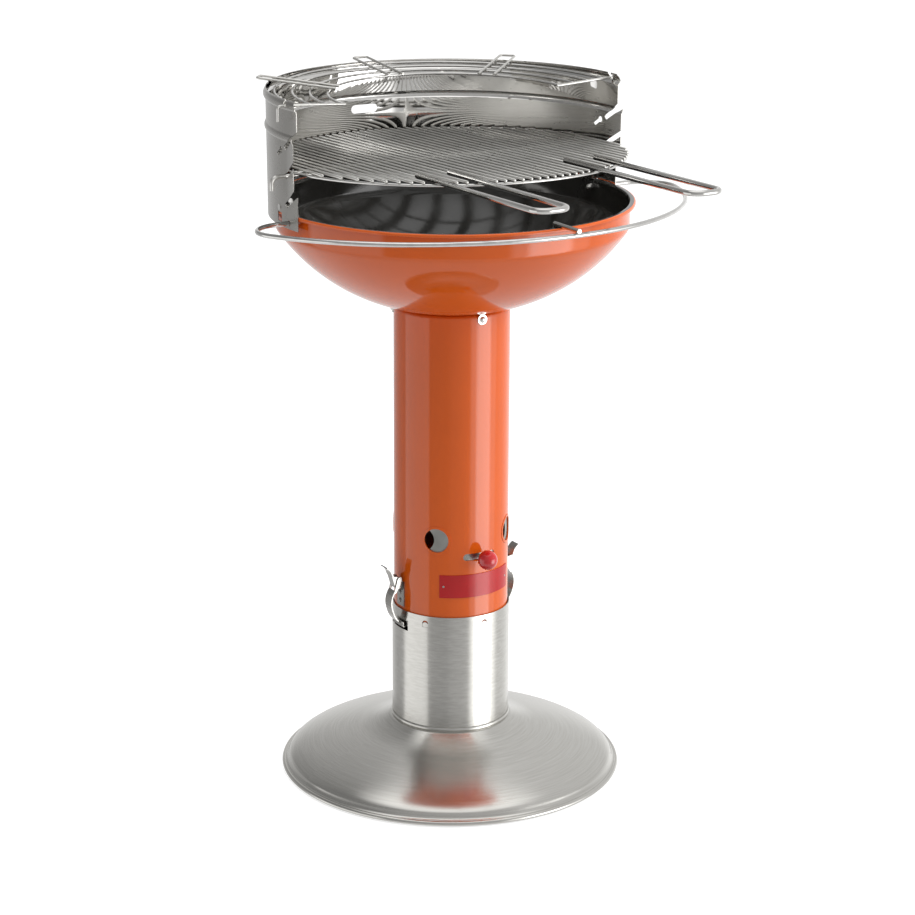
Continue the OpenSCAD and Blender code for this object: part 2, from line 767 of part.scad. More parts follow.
module windscreen() {
  sweep = 360 - 2 * screen_az;
  corner = 9;
  color(steel)
  difference() {
    rotate([0, 0, screen_az - 90]) rotate_extrude(angle = sweep, $fn = 128)
      polygon(sheet(screen_line(), screen_t));
    side_cut() edge_cuts();
    side_cut() keyhole();
    side_cut() translate([rack_bar_y - rack_notch_w / 2, rack_notch_z]) square([rack_notch_w, 30]);
    side_cut() polygon([[edge_y - cut, screen_top - corner], [edge_y + corner * 0.6, screen_top + cut],
      [edge_y - cut, screen_top + cut]]);
    for (s = [-1, 1]) at_az(s * bracket_az) {
      translate([-window_w / 2, -screen_r - 10, screen_z + 6]) cube([window_w, 20, window_h]);
      radial(screen_in - 5, screen_r + 5, wing_z, wing_d + 2 * seat);
    }
    translate([0, screen_r - 10, hand_slot_z]) rotate([90, 0, 180]) linear_extrude(30) {
      for (s = [-1, 1]) translate([s * (hand_slot_w - hand_slot_h) / 2, 0]) circle(d = hand_slot_h);
      square([hand_slot_w - hand_slot_h, hand_slot_h], center = true);
    }
    guard_legs(guard_d + 1);
  }
}

// Radius of the outer face of a bracket's outer leg
bracket_face = chord(screen_in, bracket_w / 2 + 0.5) - 0.05;

// Channel brackets that stand on the lip and hold the windscreen
module screen_brackets() {
  color(dark_steel)
  for (s = [-1, 1]) at_az(s * bracket_az) difference() {
    union() {
      translate([-bracket_w / 2, -bracket_face, lip_z + seat])
        cube([bracket_w, bracket_face - bracket_in, latch_t]);
      for (r = [bracket_face, bracket_in + latch_t])
        translate([-bracket_w / 2, -r, lip_z + seat]) cube([bracket_w, latch_t, bracket_h]);
    }
    radial(bracket_in - 5, screen_r + 5, wing_z, wing_d + 2 * seat);
  }
}

// Low-headed screws from outside
module wing_bolts() {
  color(steel)
  for (s = [-1, 1]) at_az(s * bracket_az) {
    radial(bracket_in - 12, screen_r + 0.6, wing_z, wing_d);
    radial(screen_r + 0.15, screen_r + 1.4, wing_z, wing_d * 1.7);
  }
}

module wing_nuts() {
  hub_l = 6;
  wing_w = 6.5;
  reach = 8;
  color(steel)
  for (s = [-1, 1]) at_az(s * bracket_az) difference() {
    union() {
      radial(bracket_in - seat - hub_l, bracket_in - seat, wing_z, 9);
      for (t = [0, 180])
        translate([0, -bracket_in + seat + hub_l * 0.7, wing_z]) rotate([0, t + wing_turn, 0]) {
          translate([2.5, -wing_w / 2 + 0.5, -1]) cube([reach - 2.5, wing_w, 2]);
          translate([reach, 0.5, -1]) cylinder(h = 2, d = wing_w, $fn = 32);
        }
    }
    radial(bracket_in - 20, screen_r, wing_z, wing_d + 2 * seat);
  }
}

// Everything of the guard is drawn level and then set into its holes
module guard_place() {
  translate([0, 0, guard_z]) rotate([0, 0, guard_turn])
    translate([0, guard_leg_y, 0]) rotate([-guard_tilt, 0, 0]) translate([0, -guard_leg_y, 0]) children();
}

// The legs' holes through the windscreen and the bowl's band
module guard_legs(d) {
  guard_place() for (s = [-1, 1])
    rod([s * (bowl_r - 30), guard_leg_y, 0], [s * (screen_r + 30), guard_leg_y, 0], d);
}

module guard_ring() {
  top_x = guard_corner_x;
  half = 90 + atan2(guard_corner_y - guard_back, guard_corner_x);
  corner_turn = 90 + 90 - half;
  color(steel)
  guard_place() {
    for (s = [-1, 1]) {
      rod([s * guard_end_x, guard_leg_y, 0], [guard_shift + s * top_x, guard_leg_y, 0], guard_d);
      ball([guard_shift + s * top_x, guard_leg_y, 0], guard_d);
      ball([guard_shift + s * guard_front_r * sin(half), guard_back - guard_front_r * cos(half), 0], guard_d);
      translate([guard_shift + s * top_x, guard_corner_y, 0])
        rotate([0, 0, s > 0 ? half - 90 : 90])
          rotate_extrude(angle = corner_turn) translate([guard_corner_r, 0]) circle(d = guard_d);
    }
    translate([guard_shift, guard_back, 0]) rotate([0, 0, -90 - half])
      rotate_extrude(angle = 2 * half, $fn = 180) translate([guard_front_r, 0]) circle(d = guard_d);
  }
}

// Dome nuts inside the bowl on the ends of the guard's legs
module guard_nuts() {
  color(steel)
  guard_place() for (s = [-1, 1])
    translate([s * guard_nut_x, guard_leg_y, 0]) rotate([0, 0, s * 90]) dome_nut(guard_d, 10);
}

// Strut from the guard's front over the lip, with a bent-down inner end
module guard_strut() {
  front = -(guard_front_r - guard_back) - 6;
  inner = -(bowl_r - bowl_wall) + 10;
  strut_z = lip_z + 0.05 + strut_d / 2;
  color(steel)
  translate([strut_x, 0, strut_z]) {
    rod([0, front, 0], [0, inner, 0], strut_d);
    ball([0, inner, 0], strut_d);
    rod([0, inner, 0], [0, inner, -9], strut_d);
  }
}

module strut_tip() {
  inner = -(bowl_r - bowl_wall) + 10;
  strut_z = lip_z + 0.05 + strut_d / 2;
  color(black)
  translate([strut_x, inner, strut_z - 13])
    difference() {
      cylinder(h = 7, d = strut_d + 2);
      translate([0, 0, 4 - seat]) cylinder(h = 10, d = strut_d + 2 * seat);
    }
}

// The grate lies on its carrier with a small tilt, pushed back and to one side
module grate_place() {
  translate([0, carrier_y, carrier_z]) rotate([-grate_tilt, 0, 0])
    translate([grate_shift, grate_back - carrier_y, -carrier_z]) children();
}

module grate_rim() {
  color(steel)
  grate_place() rotate_extrude($fn = 128) translate([grate_rim_r, grate_rim_z]) circle(d = grate_rim_d);
}

// Place of rod i, counted from the middle to the right
function rod_x(i) = (i + 0.5) * grate_pitch;

// The rods that a handle continues end behind its legs
module grate_rods() {
  n = floor((grate_rim_r - 5) / grate_pitch + 0.5);
  color(steel)
  grate_place() for (s = [-1, 1], i = [0:n - 1]) {
    half = chord(grate_edge_r, rod_x(i));
    front = (i == handle_rod || i == handle_rod + handle_rods) ? handle_end + 1 : -half;
    rod([s * rod_x(i), front, grate_rod_z], [s * rod_x(i), half, grate_rod_z], grate_rod_d);
  }
}

// Cross bar under the rods, between the sides of the rim
module grate_bar() {
  half = chord(grate_rim_r - grate_rim_d / 2, abs(grate_bar_y) + grate_rim_d / 2) - 0.1;
  color(steel)
  grate_place() rod([-half, grate_bar_y, grate_bar_z], [half, grate_bar_y, grate_bar_z], grate_rim_d);
}

// The bar that carries the grate in the side slots
module grate_carrier() {
  color(steel)
  translate([0, carrier_y, carrier_z]) rotate([90, 0, 0])
    wire([[-hook_x, -hook_h], [-hook_x, 0], [hook_x, 0], [hook_x, -hook_h]], hook_bend, carrier_d);
}

// A handle's legs lie on the rim, each in line with a rod
module grate_handle(side) {
  x0 = side * rod_x(handle_rod);
  x1 = side * rod_x(handle_rod + handle_rods);
  rest = -chord(grate_rim_r, abs(x0));
  color(steel)
  grate_place() translate([0, rest, handle_z]) rotate([handle_droop, 0, 0])
    wire([[x0, handle_end - rest], [x0, -handle_reach - rest], [x1, -handle_reach - rest], [x1, handle_end - rest]],
      handle_bend, handle_d);
}

module grate_handle_left() {
  grate_handle(-1);
}

module grate_handle_right() {
  grate_handle(1);
}

// Height of the rack's wires at radius r
function rack_level(r) = rack_z - (rack_out_r - r) * tan(rack_slope);
function rack_r(i) = rack_in_r + (rack_out_r - rack_in_r) * i / (rack_n - 1);

// Each arc rises towards the back from its ends on the end bars
module rack_arcs() {
  color(steel)
  for (i = [0:rack_n - 1]) {
    start = asin((rack_bar_y + rack_d / 2) / rack_r(i));
    translate([0, rack_bar_y, rack_level(rack_r(i))]) rotate([rack_tilt, 0, 0]) translate([0, -rack_bar_y, 0])
      rotate([0, 0, start]) rotate_extrude(angle = 180 - 2 * start, $fn = 128)
        translate([rack_r(i), 0]) circle(d = rack_d);
  }
}

// Bars along the arcs' ends, out through the notches and bent down
module rack_end_bars() {
  inner_x = rack_in_r - rack_d;
  color(steel)
  for (s = [-1, 1])
    translate([0, rack_bar_y, 0]) {
      rod([s * inner_x, 0, rack_level(inner_x)], [s * rack_out_r, 0, rack_z], rack_d);
      ball([s * rack_out_r, 0, rack_z], rack_d);
      rotate([90, 0, 0])
        wire([[s * rack_out_r, rack_z], [s * rack_hook_x, rack_z], [s * rack_hook_x, rack_z - rack_hook_h]], 4, rack_d);
    }
}

// Straight hangers from the inner arc over the top edge of the windscreen
module rack_hangers() {
  lie = rack_d + seat;
  out_r = screen_r + hanger_out;
  half = hanger_w / 2;
  color(steel)
  for (az = hanger_azs) at_az(az) {
    up = (half * abs(sin(az)) - rack_in_r * cos(az) - rack_bar_y) * tan(rack_tilt);
    slope = atan((hanger_z + 0.1 - rack_level(rack_in_r) - lie - up) / (screen_in - rack_in_r));
    in_l = (screen_in - hanger_in_r) / cos(slope);
    out_l = (out_r - screen_in) / cos(slope);
    translate([0, -screen_in, hanger_z + 0.1]) rotate([-slope, 0, 0])
      wire([[-half, in_l], [-half, -out_l], [half, -out_l], [half, in_l]], 5, rack_d);
  }
}

// A side outline in the o-Z plane, as wide as w, at the middle of the +X side
module side_plate(w) {
  rotate([90, 0, 0]) linear_extrude(w, center = true) children();
}

// Two such plates whose inner faces lie at y0 to each side
module side_pair(y0, t) {
  for (s = [-1, 1])
    translate([0, s > 0 ? y0 + t : -y0, 0]) rotate([90, 0, 0]) linear_extrude(t) children();
}

// A pin across the latch at point p
module cross_pin(p, d, w) {
  translate([p[0], -w / 2, p[1]]) rotate([-90, 0, 0]) cylinder(h = w, d = d);
}

// Both latches are drawn on the +X side and turned to the other
module both_sides() {
  children();
  mirror([1, 0, 0]) children();
}

module latch_base() {
  difference() {
    union() {
      intersection() {
        difference() {
          translate([0, 0, base_bottom]) cylinder(h = base_top - base_bottom, r = base_o + base_t, $fn = 128);
          translate([0, 0, base_bottom - cut]) cylinder(h = 200, r = base_o, $fn = 128);
        }
        translate([0, -base_w / 2, base_bottom]) cube([column_r * 2, base_w, base_top - base_bottom]);
      }
      side_pair(ear_y, latch_t) polygon([[base_o + 0.5, pivot[1] - 9], pivot + [-1.4, -3.6], pivot + [1, -3.5],
        pivot + [3.3, -1.4], pivot + [3.3, 1.4], pivot + [1, 3.6], [base_o + 0.5, pivot[1] + 4.6]]);
    }
    cross_pin(pivot, latch_pin_d + 2 * seat, 60);
    for (z = rivet_zs) at_az(90) radial(column_r - 8, column_r + 8, z, rivet_d + 2 * seat);
  }
}

module latch_bases() {
  color(steel)
  both_sides() latch_base();
}

module latch_rivets() {
  color(steel)
  both_sides() for (z = rivet_zs) at_az(90) {
    radial(column_in - 2, base_o + base_t + 0.5, z, rivet_d);
    radial(column_in - 2.5, column_in - 0.4, z, rivet_head_d);
    intersection() {
      translate([0, -base_o - base_t + 2, z]) sphere(d = rivet_head_d + 1);
      translate([-10, -base_o - base_t - 10.05, z - 10]) cube([20, 10, 20]);
    }
  }
}

module latch_pivot_pins() {
  color(steel)
  both_sides() cross_pin(pivot, latch_pin_d, 2 * (cheek_y + latch_t) + 0.1);
}

module latch_hook_pin() {
  color(steel)
  cross_pin(hook_pivot, latch_pin_d, 2 * (arm_y + latch_t) + 1);
}

module latch_hook_pin_right() {
  latch_hook_pin();
}

module latch_hook_pin_left() {
  mirror([1, 0, 0]) latch_hook_pin();
}

// The lever: two cheeks on the pins and an outer plate with a flared tip
module latch_lever() {
  low = pivot + [3.7, -1.5];
  mid = pivot + [8.5, 15];
  high = pivot + [11, 22];
  tip = pivot + [18.5, 30];
  plate = concat(bend3(low, pivot + [6, 7], mid, 4), bend3(high, pivot + [13.5, 27], tip, 5));
  color(steel)
  difference() {
    union() {
      side_pair(cheek_y, latch_t) polygon([pivot + [-3.6, -2.6], pivot + [-1, -4.2], pivot + [3.6, -2.4],
        mid + [0.3, 0], hook_pivot + [4, 4.5], hook_pivot + [-2.6, 3.2], hook_pivot + [-3.9, 0]]);
      side_plate(2 * (cheek_y + latch_t)) polygon(sheet(bend3(low, pivot + [6, 7], mid, 4), -latch_t));
      side_plate(latch_w) polygon(sheet(concat([mid], bend3(high, pivot + [13.5, 27], tip, 5)), -latch_t));
    }
    cross_pin(pivot, latch_pin_d + 2 * run, 60);
    cross_pin(hook_pivot, latch_pin_d + 2 * seat, 60);
  }
}

module latch_lever_right() {
  latch_lever();
}

module latch_lever_left() {
  mirror([1, 0, 0]) latch_lever();
}

// The hook: two arms on the hook pin, a bulging strap and a cross end
module latch_hook() {
  top = pivot + [5.2, -6.5];
  foot = [pot_r + 1.8, hook_tongue_z + 5.5];
  strap = concat(
    bend3(top, [pivot[0] + 15, pivot[1] - 20], [pivot[0] + 8.5, pivot[1] - 37], 8),
    bend3([pivot[0] + 7.2, pivot[1] - 41], [pivot[0] + 2, pivot[1] - 52], foot, 5));
  cross = [foot + [0.6, 2], foot, [pot_r + 1.8, hook_tongue_z + 0.2]];
  color(steel)
  difference() {
    union() {
      side_pair(arm_y, latch_t) polygon([hook_pivot + [-3.6, 1], hook_pivot + [-1.5, 3.8], hook_pivot + [2, 3.6],
        hook_pivot + [4, 1], top + [1.2, 1.5], top + [2, -4], top + [-0.4, -2.5], hook_pivot + [-2.6, -3]]);
      side_plate(latch_w) polygon(sheet(strap, latch_t));
      side_plate(cross_w) polygon(sheet(cross, latch_t));
      translate([chord(pot_r - base_sheet, cross_w / 2) - 1.5, -cross_w / 2, hook_tongue_z])
        cube([pot_r + 2.9 - chord(pot_r - base_sheet, cross_w / 2) + 1.5, cross_w, latch_t]);
    }
    cross_pin(hook_pivot, latch_pin_d + 2 * run, 60);
  }
}

module latch_hook_right() {
  latch_hook();
}

module latch_hook_left() {
  mirror([1, 0, 0]) latch_hook();
}

base_dish();
base_plate();
pot_collar();
ash_pot();
pot_screws();
pot_nuts();
column_tube();
nameplate();
nameplate_rivets();
air_sleeve();
air_stem();
air_nut();
air_knob();
neck_bolts();
neck_washers();
neck_spacers();
neck_nuts();
bowl();
charcoal_rim();
charcoal_rods();
windscreen();
screen_brackets();
wing_bolts();
wing_nuts();
guard_ring();
guard_nuts();
guard_strut();
strut_tip();
grate_rim();
grate_rods();
grate_bar();
grate_carrier();
grate_handle_left();
grate_handle_right();
rack_arcs();
rack_end_bars();
rack_hangers();
latch_bases();
latch_rivets();
latch_pivot_pins();
latch_lever_left();
latch_lever_right();
latch_hook_pin_left();
latch_hook_pin_right();
latch_hook_left();
latch_hook_right();
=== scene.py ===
"""Looks for the charcoal grill: detailed meshes, procedural materials, a pale studio."""
import math

import bmesh
import bpy
import numpy as np
from mathutils import Matrix, Vector
from mathutils.geometry import tessellate_polygon


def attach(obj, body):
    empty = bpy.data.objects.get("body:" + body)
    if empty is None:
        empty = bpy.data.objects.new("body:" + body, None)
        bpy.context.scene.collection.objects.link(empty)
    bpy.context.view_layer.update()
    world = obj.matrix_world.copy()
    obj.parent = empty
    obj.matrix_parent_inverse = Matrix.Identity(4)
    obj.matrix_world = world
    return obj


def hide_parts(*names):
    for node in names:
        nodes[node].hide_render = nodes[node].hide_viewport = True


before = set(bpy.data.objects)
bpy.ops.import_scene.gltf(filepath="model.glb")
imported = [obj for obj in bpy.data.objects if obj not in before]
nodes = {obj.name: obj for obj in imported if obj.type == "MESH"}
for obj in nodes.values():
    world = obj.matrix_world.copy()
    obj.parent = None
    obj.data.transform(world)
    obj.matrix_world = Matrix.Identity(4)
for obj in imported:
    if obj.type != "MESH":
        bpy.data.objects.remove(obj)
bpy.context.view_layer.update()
scene = bpy.context.scene
MM = 0.001
ROUND_STEPS = 320

# Sizes in millimetres and turns in degrees, most of them repeated from the CAD part
BASE_R, BASE_H, SHEET, ROLL_R, ROLL_Z = 240.0, 74.0, 1.2, 3.6, 4.6
# The knee between the dish's steep neck and its long slope, as shares of its width and height
KNEE_OUT, KNEE_UP = 0.294, 0.736
POT_R = 82.3
COLUMN_Z = 228.0
NECK_H = 21.0
BOWL_R, BOWL_WALL, BOWL_Z, BAND_Z, LIP_Z, LIP_R = 240.0, 1.5, 671.0, 782.0, 817.5, 247.3
BOWL_ARC_R, LIP_ROLL, LIP_DROP, MOUTH_ROLL = 265.7, 2.2, 4.7, 2.5
SEAT_R = 75.0
SCREEN_R, SCREEN_T, SCREEN_Z, SCREEN_TOP, SCREEN_AZ = 248.5, 1.0, 799.0, 968.6, 84.0
RIB_Z, RIB_H, RIB_OUT = 919.0, 10.0, 2.2
TONGUE_N, TONGUE_W, TONGUE_AZ = 6, 9.0, 4.3
TONGUE_T, TONGUE_INSET, TONGUE_GAP, TONGUE_DOWN, TONGUE_UP, TONGUE_RISE = 0.5, 0.5, 0.3, 1.4, 1.5, 4.6
BEAD_Z, BEAD_H, BEAD_OUT = 961.0, 12.0, 3.0
# The windscreen widens upwards, and its teeth bend outwards by TOOTH_OUT at TOOTH_RUN before the carrier
FLARE, TOOTH_OUT, TOOTH_RUN, TOOTH_CURVE = 1.4, 6.5, 30.0, 1.6
CHAMFER_Z, CHAMFER_Y = 9.0, 5.4
NOTCH_H, NOTCH_Y0, NOTCH_Y1 = 9.6, -5.5, 1.5
KEY_R, KEY_END_R, KEY_L, KEY_Y, KEY_DOWN = 4.25, 2.5, 13.0, 14.0, 5.0
BRACKET_AZ, WINDOW_W, WINDOW_Z0, WINDOW_Z1 = 96.0, 13.5, 805.0, 817.4
WING_Z, WING_R = 823.5, 2.5
HAND_DOWN, HAND_HALF, HAND_R = 66.6, 15.0, 6.0
CARRIER_Y, CARRIER_Z, CARRIER_D = 3.0, 868.0, 6.0
SLOT_TILT, SLOT_W, SLOT_STEP = math.radians(33), 7.0, 38.0
GUARD_D, GUARD_R, GUARD_BACK, GUARD_CORNER_R = 6.5, 345.0, 65.0, 48.0
GUARD_LEG_Y, GUARD_Z, GUARD_TILT, GUARD_SHIFT, GUARD_TURN = 8.0, 806.8, 1.43, 10.5, 2.4
GUARD_END_X, HOLE_GAP = 231.0, 0.5
GRATE_TILT, GRATE_SHIFT, GRATE_BACK = 1.5, -3.3, 4.0
RIM_D, ROD_D, PITCH_X, RODS_PER_SIDE = 4.0, 4.0, 11.75, 20
RIM_R = 238.3
HANDLE_D, HANDLE_ROD, HANDLE_RODS, HANDLE_REACH, HANDLE_L = 7.5, 7, 4, 442.0, 291.0
HANDLE_BEND, HANDLE_DROOP, HANDLE_GAP = 18.0, 0.7, 0.02
RACK_D, RACK_IN_R, RACK_N, RACK_TILT = 3.5, 167.0, 4, 1.1
RACK_GAP, RACK_RISE, RACK_BAR_Y, SEAT_GAP = 7.8, 4.5, -2.0, 0.3


# Materials
COAT_ROUGH, BRUSH_TURN, BUMP_DEPTH = 0.03, 0.25, 0.0004
STEEL = (0.60, 0.59, 0.56)
STEEL_LOW = (0.54, 0.53, 0.50)


class Graph:
    """Short calls for building a node tree."""

    def __init__(self, tree):
        self.tree = tree
        self.tree.nodes.clear()

    def node(self, kind, **values):
        made = self.tree.nodes.new(kind)
        for key, value in values.items():
            setattr(made, key, value)
        return made

    def link(self, a, b):
        self.tree.links.new(a, b)

    def math(self, operation, a, b=None):
        made = self.node("ShaderNodeMath", operation=operation)
        for socket, value in zip(made.inputs, (a, b)):
            if value is None:
                continue
            if isinstance(value, (int, float)):
                socket.default_value = value
            else:
                self.link(value, socket)
        return made.outputs[0]

    def ramp(self, source, stops):
        """A colour ramp with a grey or a colour at each stop."""
        made = self.node("ShaderNodeValToRGB")
        elements = made.color_ramp.elements
        while len(elements) > 1:
            elements.remove(elements[-1])
        elements[0].position = stops[0][0]
        elements[0].color = shade(stops[0][1])
        for place, colour in stops[1:]:
            elements.new(place).color = shade(colour)
        self.link(source, made.inputs["Fac"])
        return made.outputs["Color"]

    def mix(self, share, first, second):
        """A blend of two colours, where the second is a fixed grey or a link."""
        made = self.node("ShaderNodeMix", data_type="RGBA")
        self.link(share, made.inputs[0])
        self.link(first, made.inputs[6])
        if isinstance(second, (int, float)):
            made.inputs[7].default_value = shade(second)
        else:
            self.link(second, made.inputs[7])
        return made.outputs[2]

    def noise(self, vector, scale, detail=4.0):
        made = self.node("ShaderNodeTexNoise")
        made.inputs["Scale"].default_value = scale
        made.inputs["Detail"].default_value = detail
        self.link(vector, made.inputs["Vector"])
        return made.outputs["Fac"]


def shade(colour):
    """A grey or a colour with its alpha."""
    if isinstance(colour, (int, float)):
        return (colour, colour, colour, 1.0)
    return (*colour, 1.0)


def around(g, turn, up, out):
    """Coordinates that run round the axis, up it and out from it."""
    place = g.node("ShaderNodeTexCoord").outputs["Object"]
    split = g.node("ShaderNodeSeparateXYZ")
    g.link(place, split.inputs[0])
    x, y, z = split.outputs
    angle = g.math("ARCTAN2", y, x)
    radius = g.math("SQRT", g.math("ADD", g.math("MULTIPLY", x, x), g.math("MULTIPLY", y, y)))
    joined = g.node("ShaderNodeCombineXYZ")
    for socket, value, size in zip(joined.inputs, (angle, z, radius), (turn, up, out)):
        g.link(g.math("MULTIPLY", value, size), socket)
    return joined.outputs[0]


def surface(name, colour, rough, metal, low, scale, spread=0.0, bump=0.0, bump_scale=300.0, coat=0.0,
            brushed=0.0, tangent=None, ior=1.5, stretch=None):
    """A shader whose colour, roughness and bump vary by noise at the given scales."""
    made = bpy.data.materials.new(name)
    made.use_nodes = True
    g = Graph(made.node_tree)
    out = g.node("ShaderNodeOutputMaterial")
    shader = g.node("ShaderNodeBsdfPrincipled")
    g.link(shader.outputs[0], out.inputs["Surface"])
    shader.inputs["Metallic"].default_value = metal
    shader.inputs["IOR"].default_value = ior
    shader.inputs["Coat Weight"].default_value = coat
    shader.inputs["Coat Roughness"].default_value = COAT_ROUGH
    shader.inputs["Anisotropic"].default_value = brushed
    shader.inputs["Anisotropic Rotation"].default_value = BRUSH_TURN
    place = g.node("ShaderNodeTexCoord").outputs["Object"] if stretch is None else around(g, *stretch)
    cloud = g.noise(place, scale)
    low = low or tuple(0.9 * c for c in colour)
    g.link(g.ramp(cloud, [(0.35, low), (0.65, colour)]), shader.inputs["Base Color"])
    g.link(g.ramp(cloud, [(0.3, rough - spread), (0.7, rough + spread)]), shader.inputs["Roughness"])
    if bump:
        grain = g.noise(place, bump_scale, detail=3.0)
        lift = g.node("ShaderNodeBump")
        lift.inputs["Strength"].default_value = bump
        lift.inputs["Distance"].default_value = BUMP_DEPTH
        g.link(grain, lift.inputs["Height"])
        g.link(lift.outputs[0], shader.inputs["Normal"])
    if tangent:
        line = g.node("ShaderNodeTangent", direction_type="RADIAL", axis=tangent)
        g.link(line.outputs[0], shader.inputs["Tangent"])
    return made


looks = {
    "dish": surface("spun_steel", STEEL, 0.22, 1.0, STEEL_LOW, 1.0, spread=0.015, bump=0.02, bump_scale=6.0,
                    brushed=0.75, tangent="Z", stretch=(3.0, 300.0, 900.0)),
    "pot": surface("brushed_steel", STEEL, 0.24, 1.0, STEEL_LOW, 1.0, spread=0.02, bump=0.035,
                   bump_scale=2.5, brushed=0.5, tangent="Z", stretch=(6.0, 420.0, 260.0)),
    "screen": surface("screen_steel", (0.4, 0.39, 0.37), 0.27, 1.0, (0.37, 0.36, 0.34), 30.0, spread=0.03,
                      bump=0.04, bump_scale=900.0),
    "screen_in": surface("mirror_steel", (0.72, 0.71, 0.69), 0.035, 1.0, (0.7, 0.69, 0.67), 8.0,
                         spread=0.01),
    "handle": surface("handle_steel", (0.62, 0.61, 0.59), 0.1, 1.0, (0.58, 0.57, 0.55), 40.0, spread=0.02),
    "wire": surface("wire_steel", (0.7, 0.69, 0.66), 0.3, 1.0, (0.64, 0.63, 0.6), 60.0, spread=0.03),
    "clip": surface("clip_steel", (0.4, 0.39, 0.37), 0.2, 1.0, (0.35, 0.34, 0.32), 80.0, spread=0.04),
    "bright": surface("bright_steel", (0.68, 0.67, 0.65), 0.12, 1.0, None, 80.0, spread=0.03),
    "zinc": surface("zinc_steel", (0.52, 0.52, 0.5), 0.32, 1.0, (0.42, 0.42, 0.4), 120.0, spread=0.06,
                    bump=0.1, bump_scale=700.0),
    "orange": surface("orange_enamel", (0.68, 0.108, 0.0075), 0.05, 0.0, (0.655, 0.103, 0.007), 12.0,
                      spread=0.01, bump=0.012, bump_scale=140.0, ior=1.52),
    "black": surface("black_enamel", (0.026, 0.025, 0.022), 0.07, 0.0, (0.022, 0.021, 0.0185), 14.0,
                     spread=0.02, bump=0.03, bump_scale=160.0, ior=1.6),
    "plate": surface("red_plate", (0.46, 0.007, 0.009), 0.2, 0.0, (0.43, 0.006, 0.008), 30.0, spread=0.02,
                     bump=0.02, bump_scale=300.0),
    "knob": surface("red_knob", (0.55, 0.01, 0.015), 0.06, 0.0, (0.5, 0.008, 0.012), 30.0, spread=0.01,
                    coat=0.6),
    "rubber": surface("black_rubber", (0.02, 0.02, 0.02), 0.45, 0.0, (0.015, 0.015, 0.015), 80.0,
                      spread=0.05, bump=0.2, bump_scale=500.0),
    "sleeve": surface("inner_steel", (0.42, 0.42, 0.4), 0.3, 1.0, (0.3, 0.3, 0.28), 30.0, spread=0.05),
}

COATS = {
    "dish": ["base_dish"],
    "zinc": ["base_plate", "pot_screws", "pot_nuts", "nameplate_rivets", "air_nut", "neck_spacers",
             "neck_nuts", "charcoal_rim", "charcoal_rods"],
    "pot": ["ash_pot", "pot_collar"],
    "orange": ["column_tube"],
    "plate": ["nameplate"],
    "sleeve": ["air_sleeve"],
    "knob": ["air_knob"],
    "rubber": ["strut_tip"],
    "screen": ["windscreen", "screen_brackets"],
    "bright": ["air_stem", "neck_bolts", "neck_washers", "wing_bolts", "wing_nuts", "guard_ring",
               "guard_nuts", "guard_strut", "grate_rim"],
    "clip": ["latch_bases", "latch_rivets", "latch_pivot_pins", "latch_lever_left", "latch_lever_right",
             "latch_hook_pin_left", "latch_hook_pin_right", "latch_hook_left", "latch_hook_right"],
    "wire": ["grate_rods", "grate_bar", "grate_carrier", "grate_handle_left", "grate_handle_right",
             "rack_arcs", "rack_end_bars", "rack_hangers"],
    "black": ["bowl"],
}
for look, names in COATS.items():
    for name in names:
        slots = nodes[name].data.materials
        slots.clear()
        slots.append(looks[look])


# Mesh helpers
def on_circle(r, degrees):
    """A point at an angle on a circle round the origin."""
    return r * math.cos(math.radians(degrees)), r * math.sin(math.radians(degrees))


def arc(cx, cy, r, a0, a1, n):
    """Points of an arc from angle a0 to a1 in degrees."""
    return [(cx + r * math.cos(math.radians(a0 + (a1 - a0) * i / n)),
             cy + r * math.sin(math.radians(a0 + (a1 - a0) * i / n))) for i in range(n + 1)]


def bend3(a, b, c, n):
    """Points along a curve with three control points."""
    a, b, c = map(np.array, (a, b, c))
    return [tuple((1 - t) ** 2 * a + 2 * t * (1 - t) * b + t * t * c) for t in np.linspace(0, 1, n + 1)]


def mesh_object(name, verts, faces, material, body, cad, smooth=35.0, split=None):
    """An object in metres from a mesh in millimetres, riding on a body."""
    mesh = bpy.data.meshes.new(name)
    mesh.from_pydata([tuple(MM * float(v) for v in vert) for vert in verts], [], faces)
    mesh.validate()
    for part in material if isinstance(material, (list, tuple)) else [material]:
        mesh.materials.append(looks[part])
    if split is not None:
        mesh.polygons.foreach_set("material_index", split)
    made = bpy.data.objects.new(name, mesh)
    scene.collection.objects.link(made)
    mesh.shade_smooth()
    mesh.set_sharp_from_angle(angle=math.radians(smooth))
    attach(made, body)
    if cad:
        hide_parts(*cad)
    return made


def lathe(name, line, material, body, cad, segments, picks=None):
    """Revolve a closed outline of (radius, height) points round the axis."""
    n = len(line)
    verts, faces, split = [], [], []
    for i in range(segments):
        a = 2 * math.pi * i / segments
        verts += [(r * math.cos(a), r * math.sin(a), z) for r, z in line]
    for i in range(segments):
        j = (i + 1) % segments
        for k in range(n):
            m = (k + 1) % n
            faces.append((i * n + k, j * n + k, j * n + m, i * n + m))
            split.append(picks[k] if picks else 0)
    return mesh_object(name, verts, faces, material, body, cad, split=split)


def turned(axis, degrees):
    """A turn about an axis as a 4 by 4 array."""
    return np.array(Matrix.Rotation(math.radians(degrees), 4, axis))


def moved(x, y, z):
    """A shift as a 4 by 4 array."""
    return np.array(Matrix.Translation((x, y, z)))


def placed(matrix, points):
    """Points after a 4 by 4 move."""
    points = np.asarray(points, float)
    return points @ matrix[:3, :3].T + matrix[:3, 3]


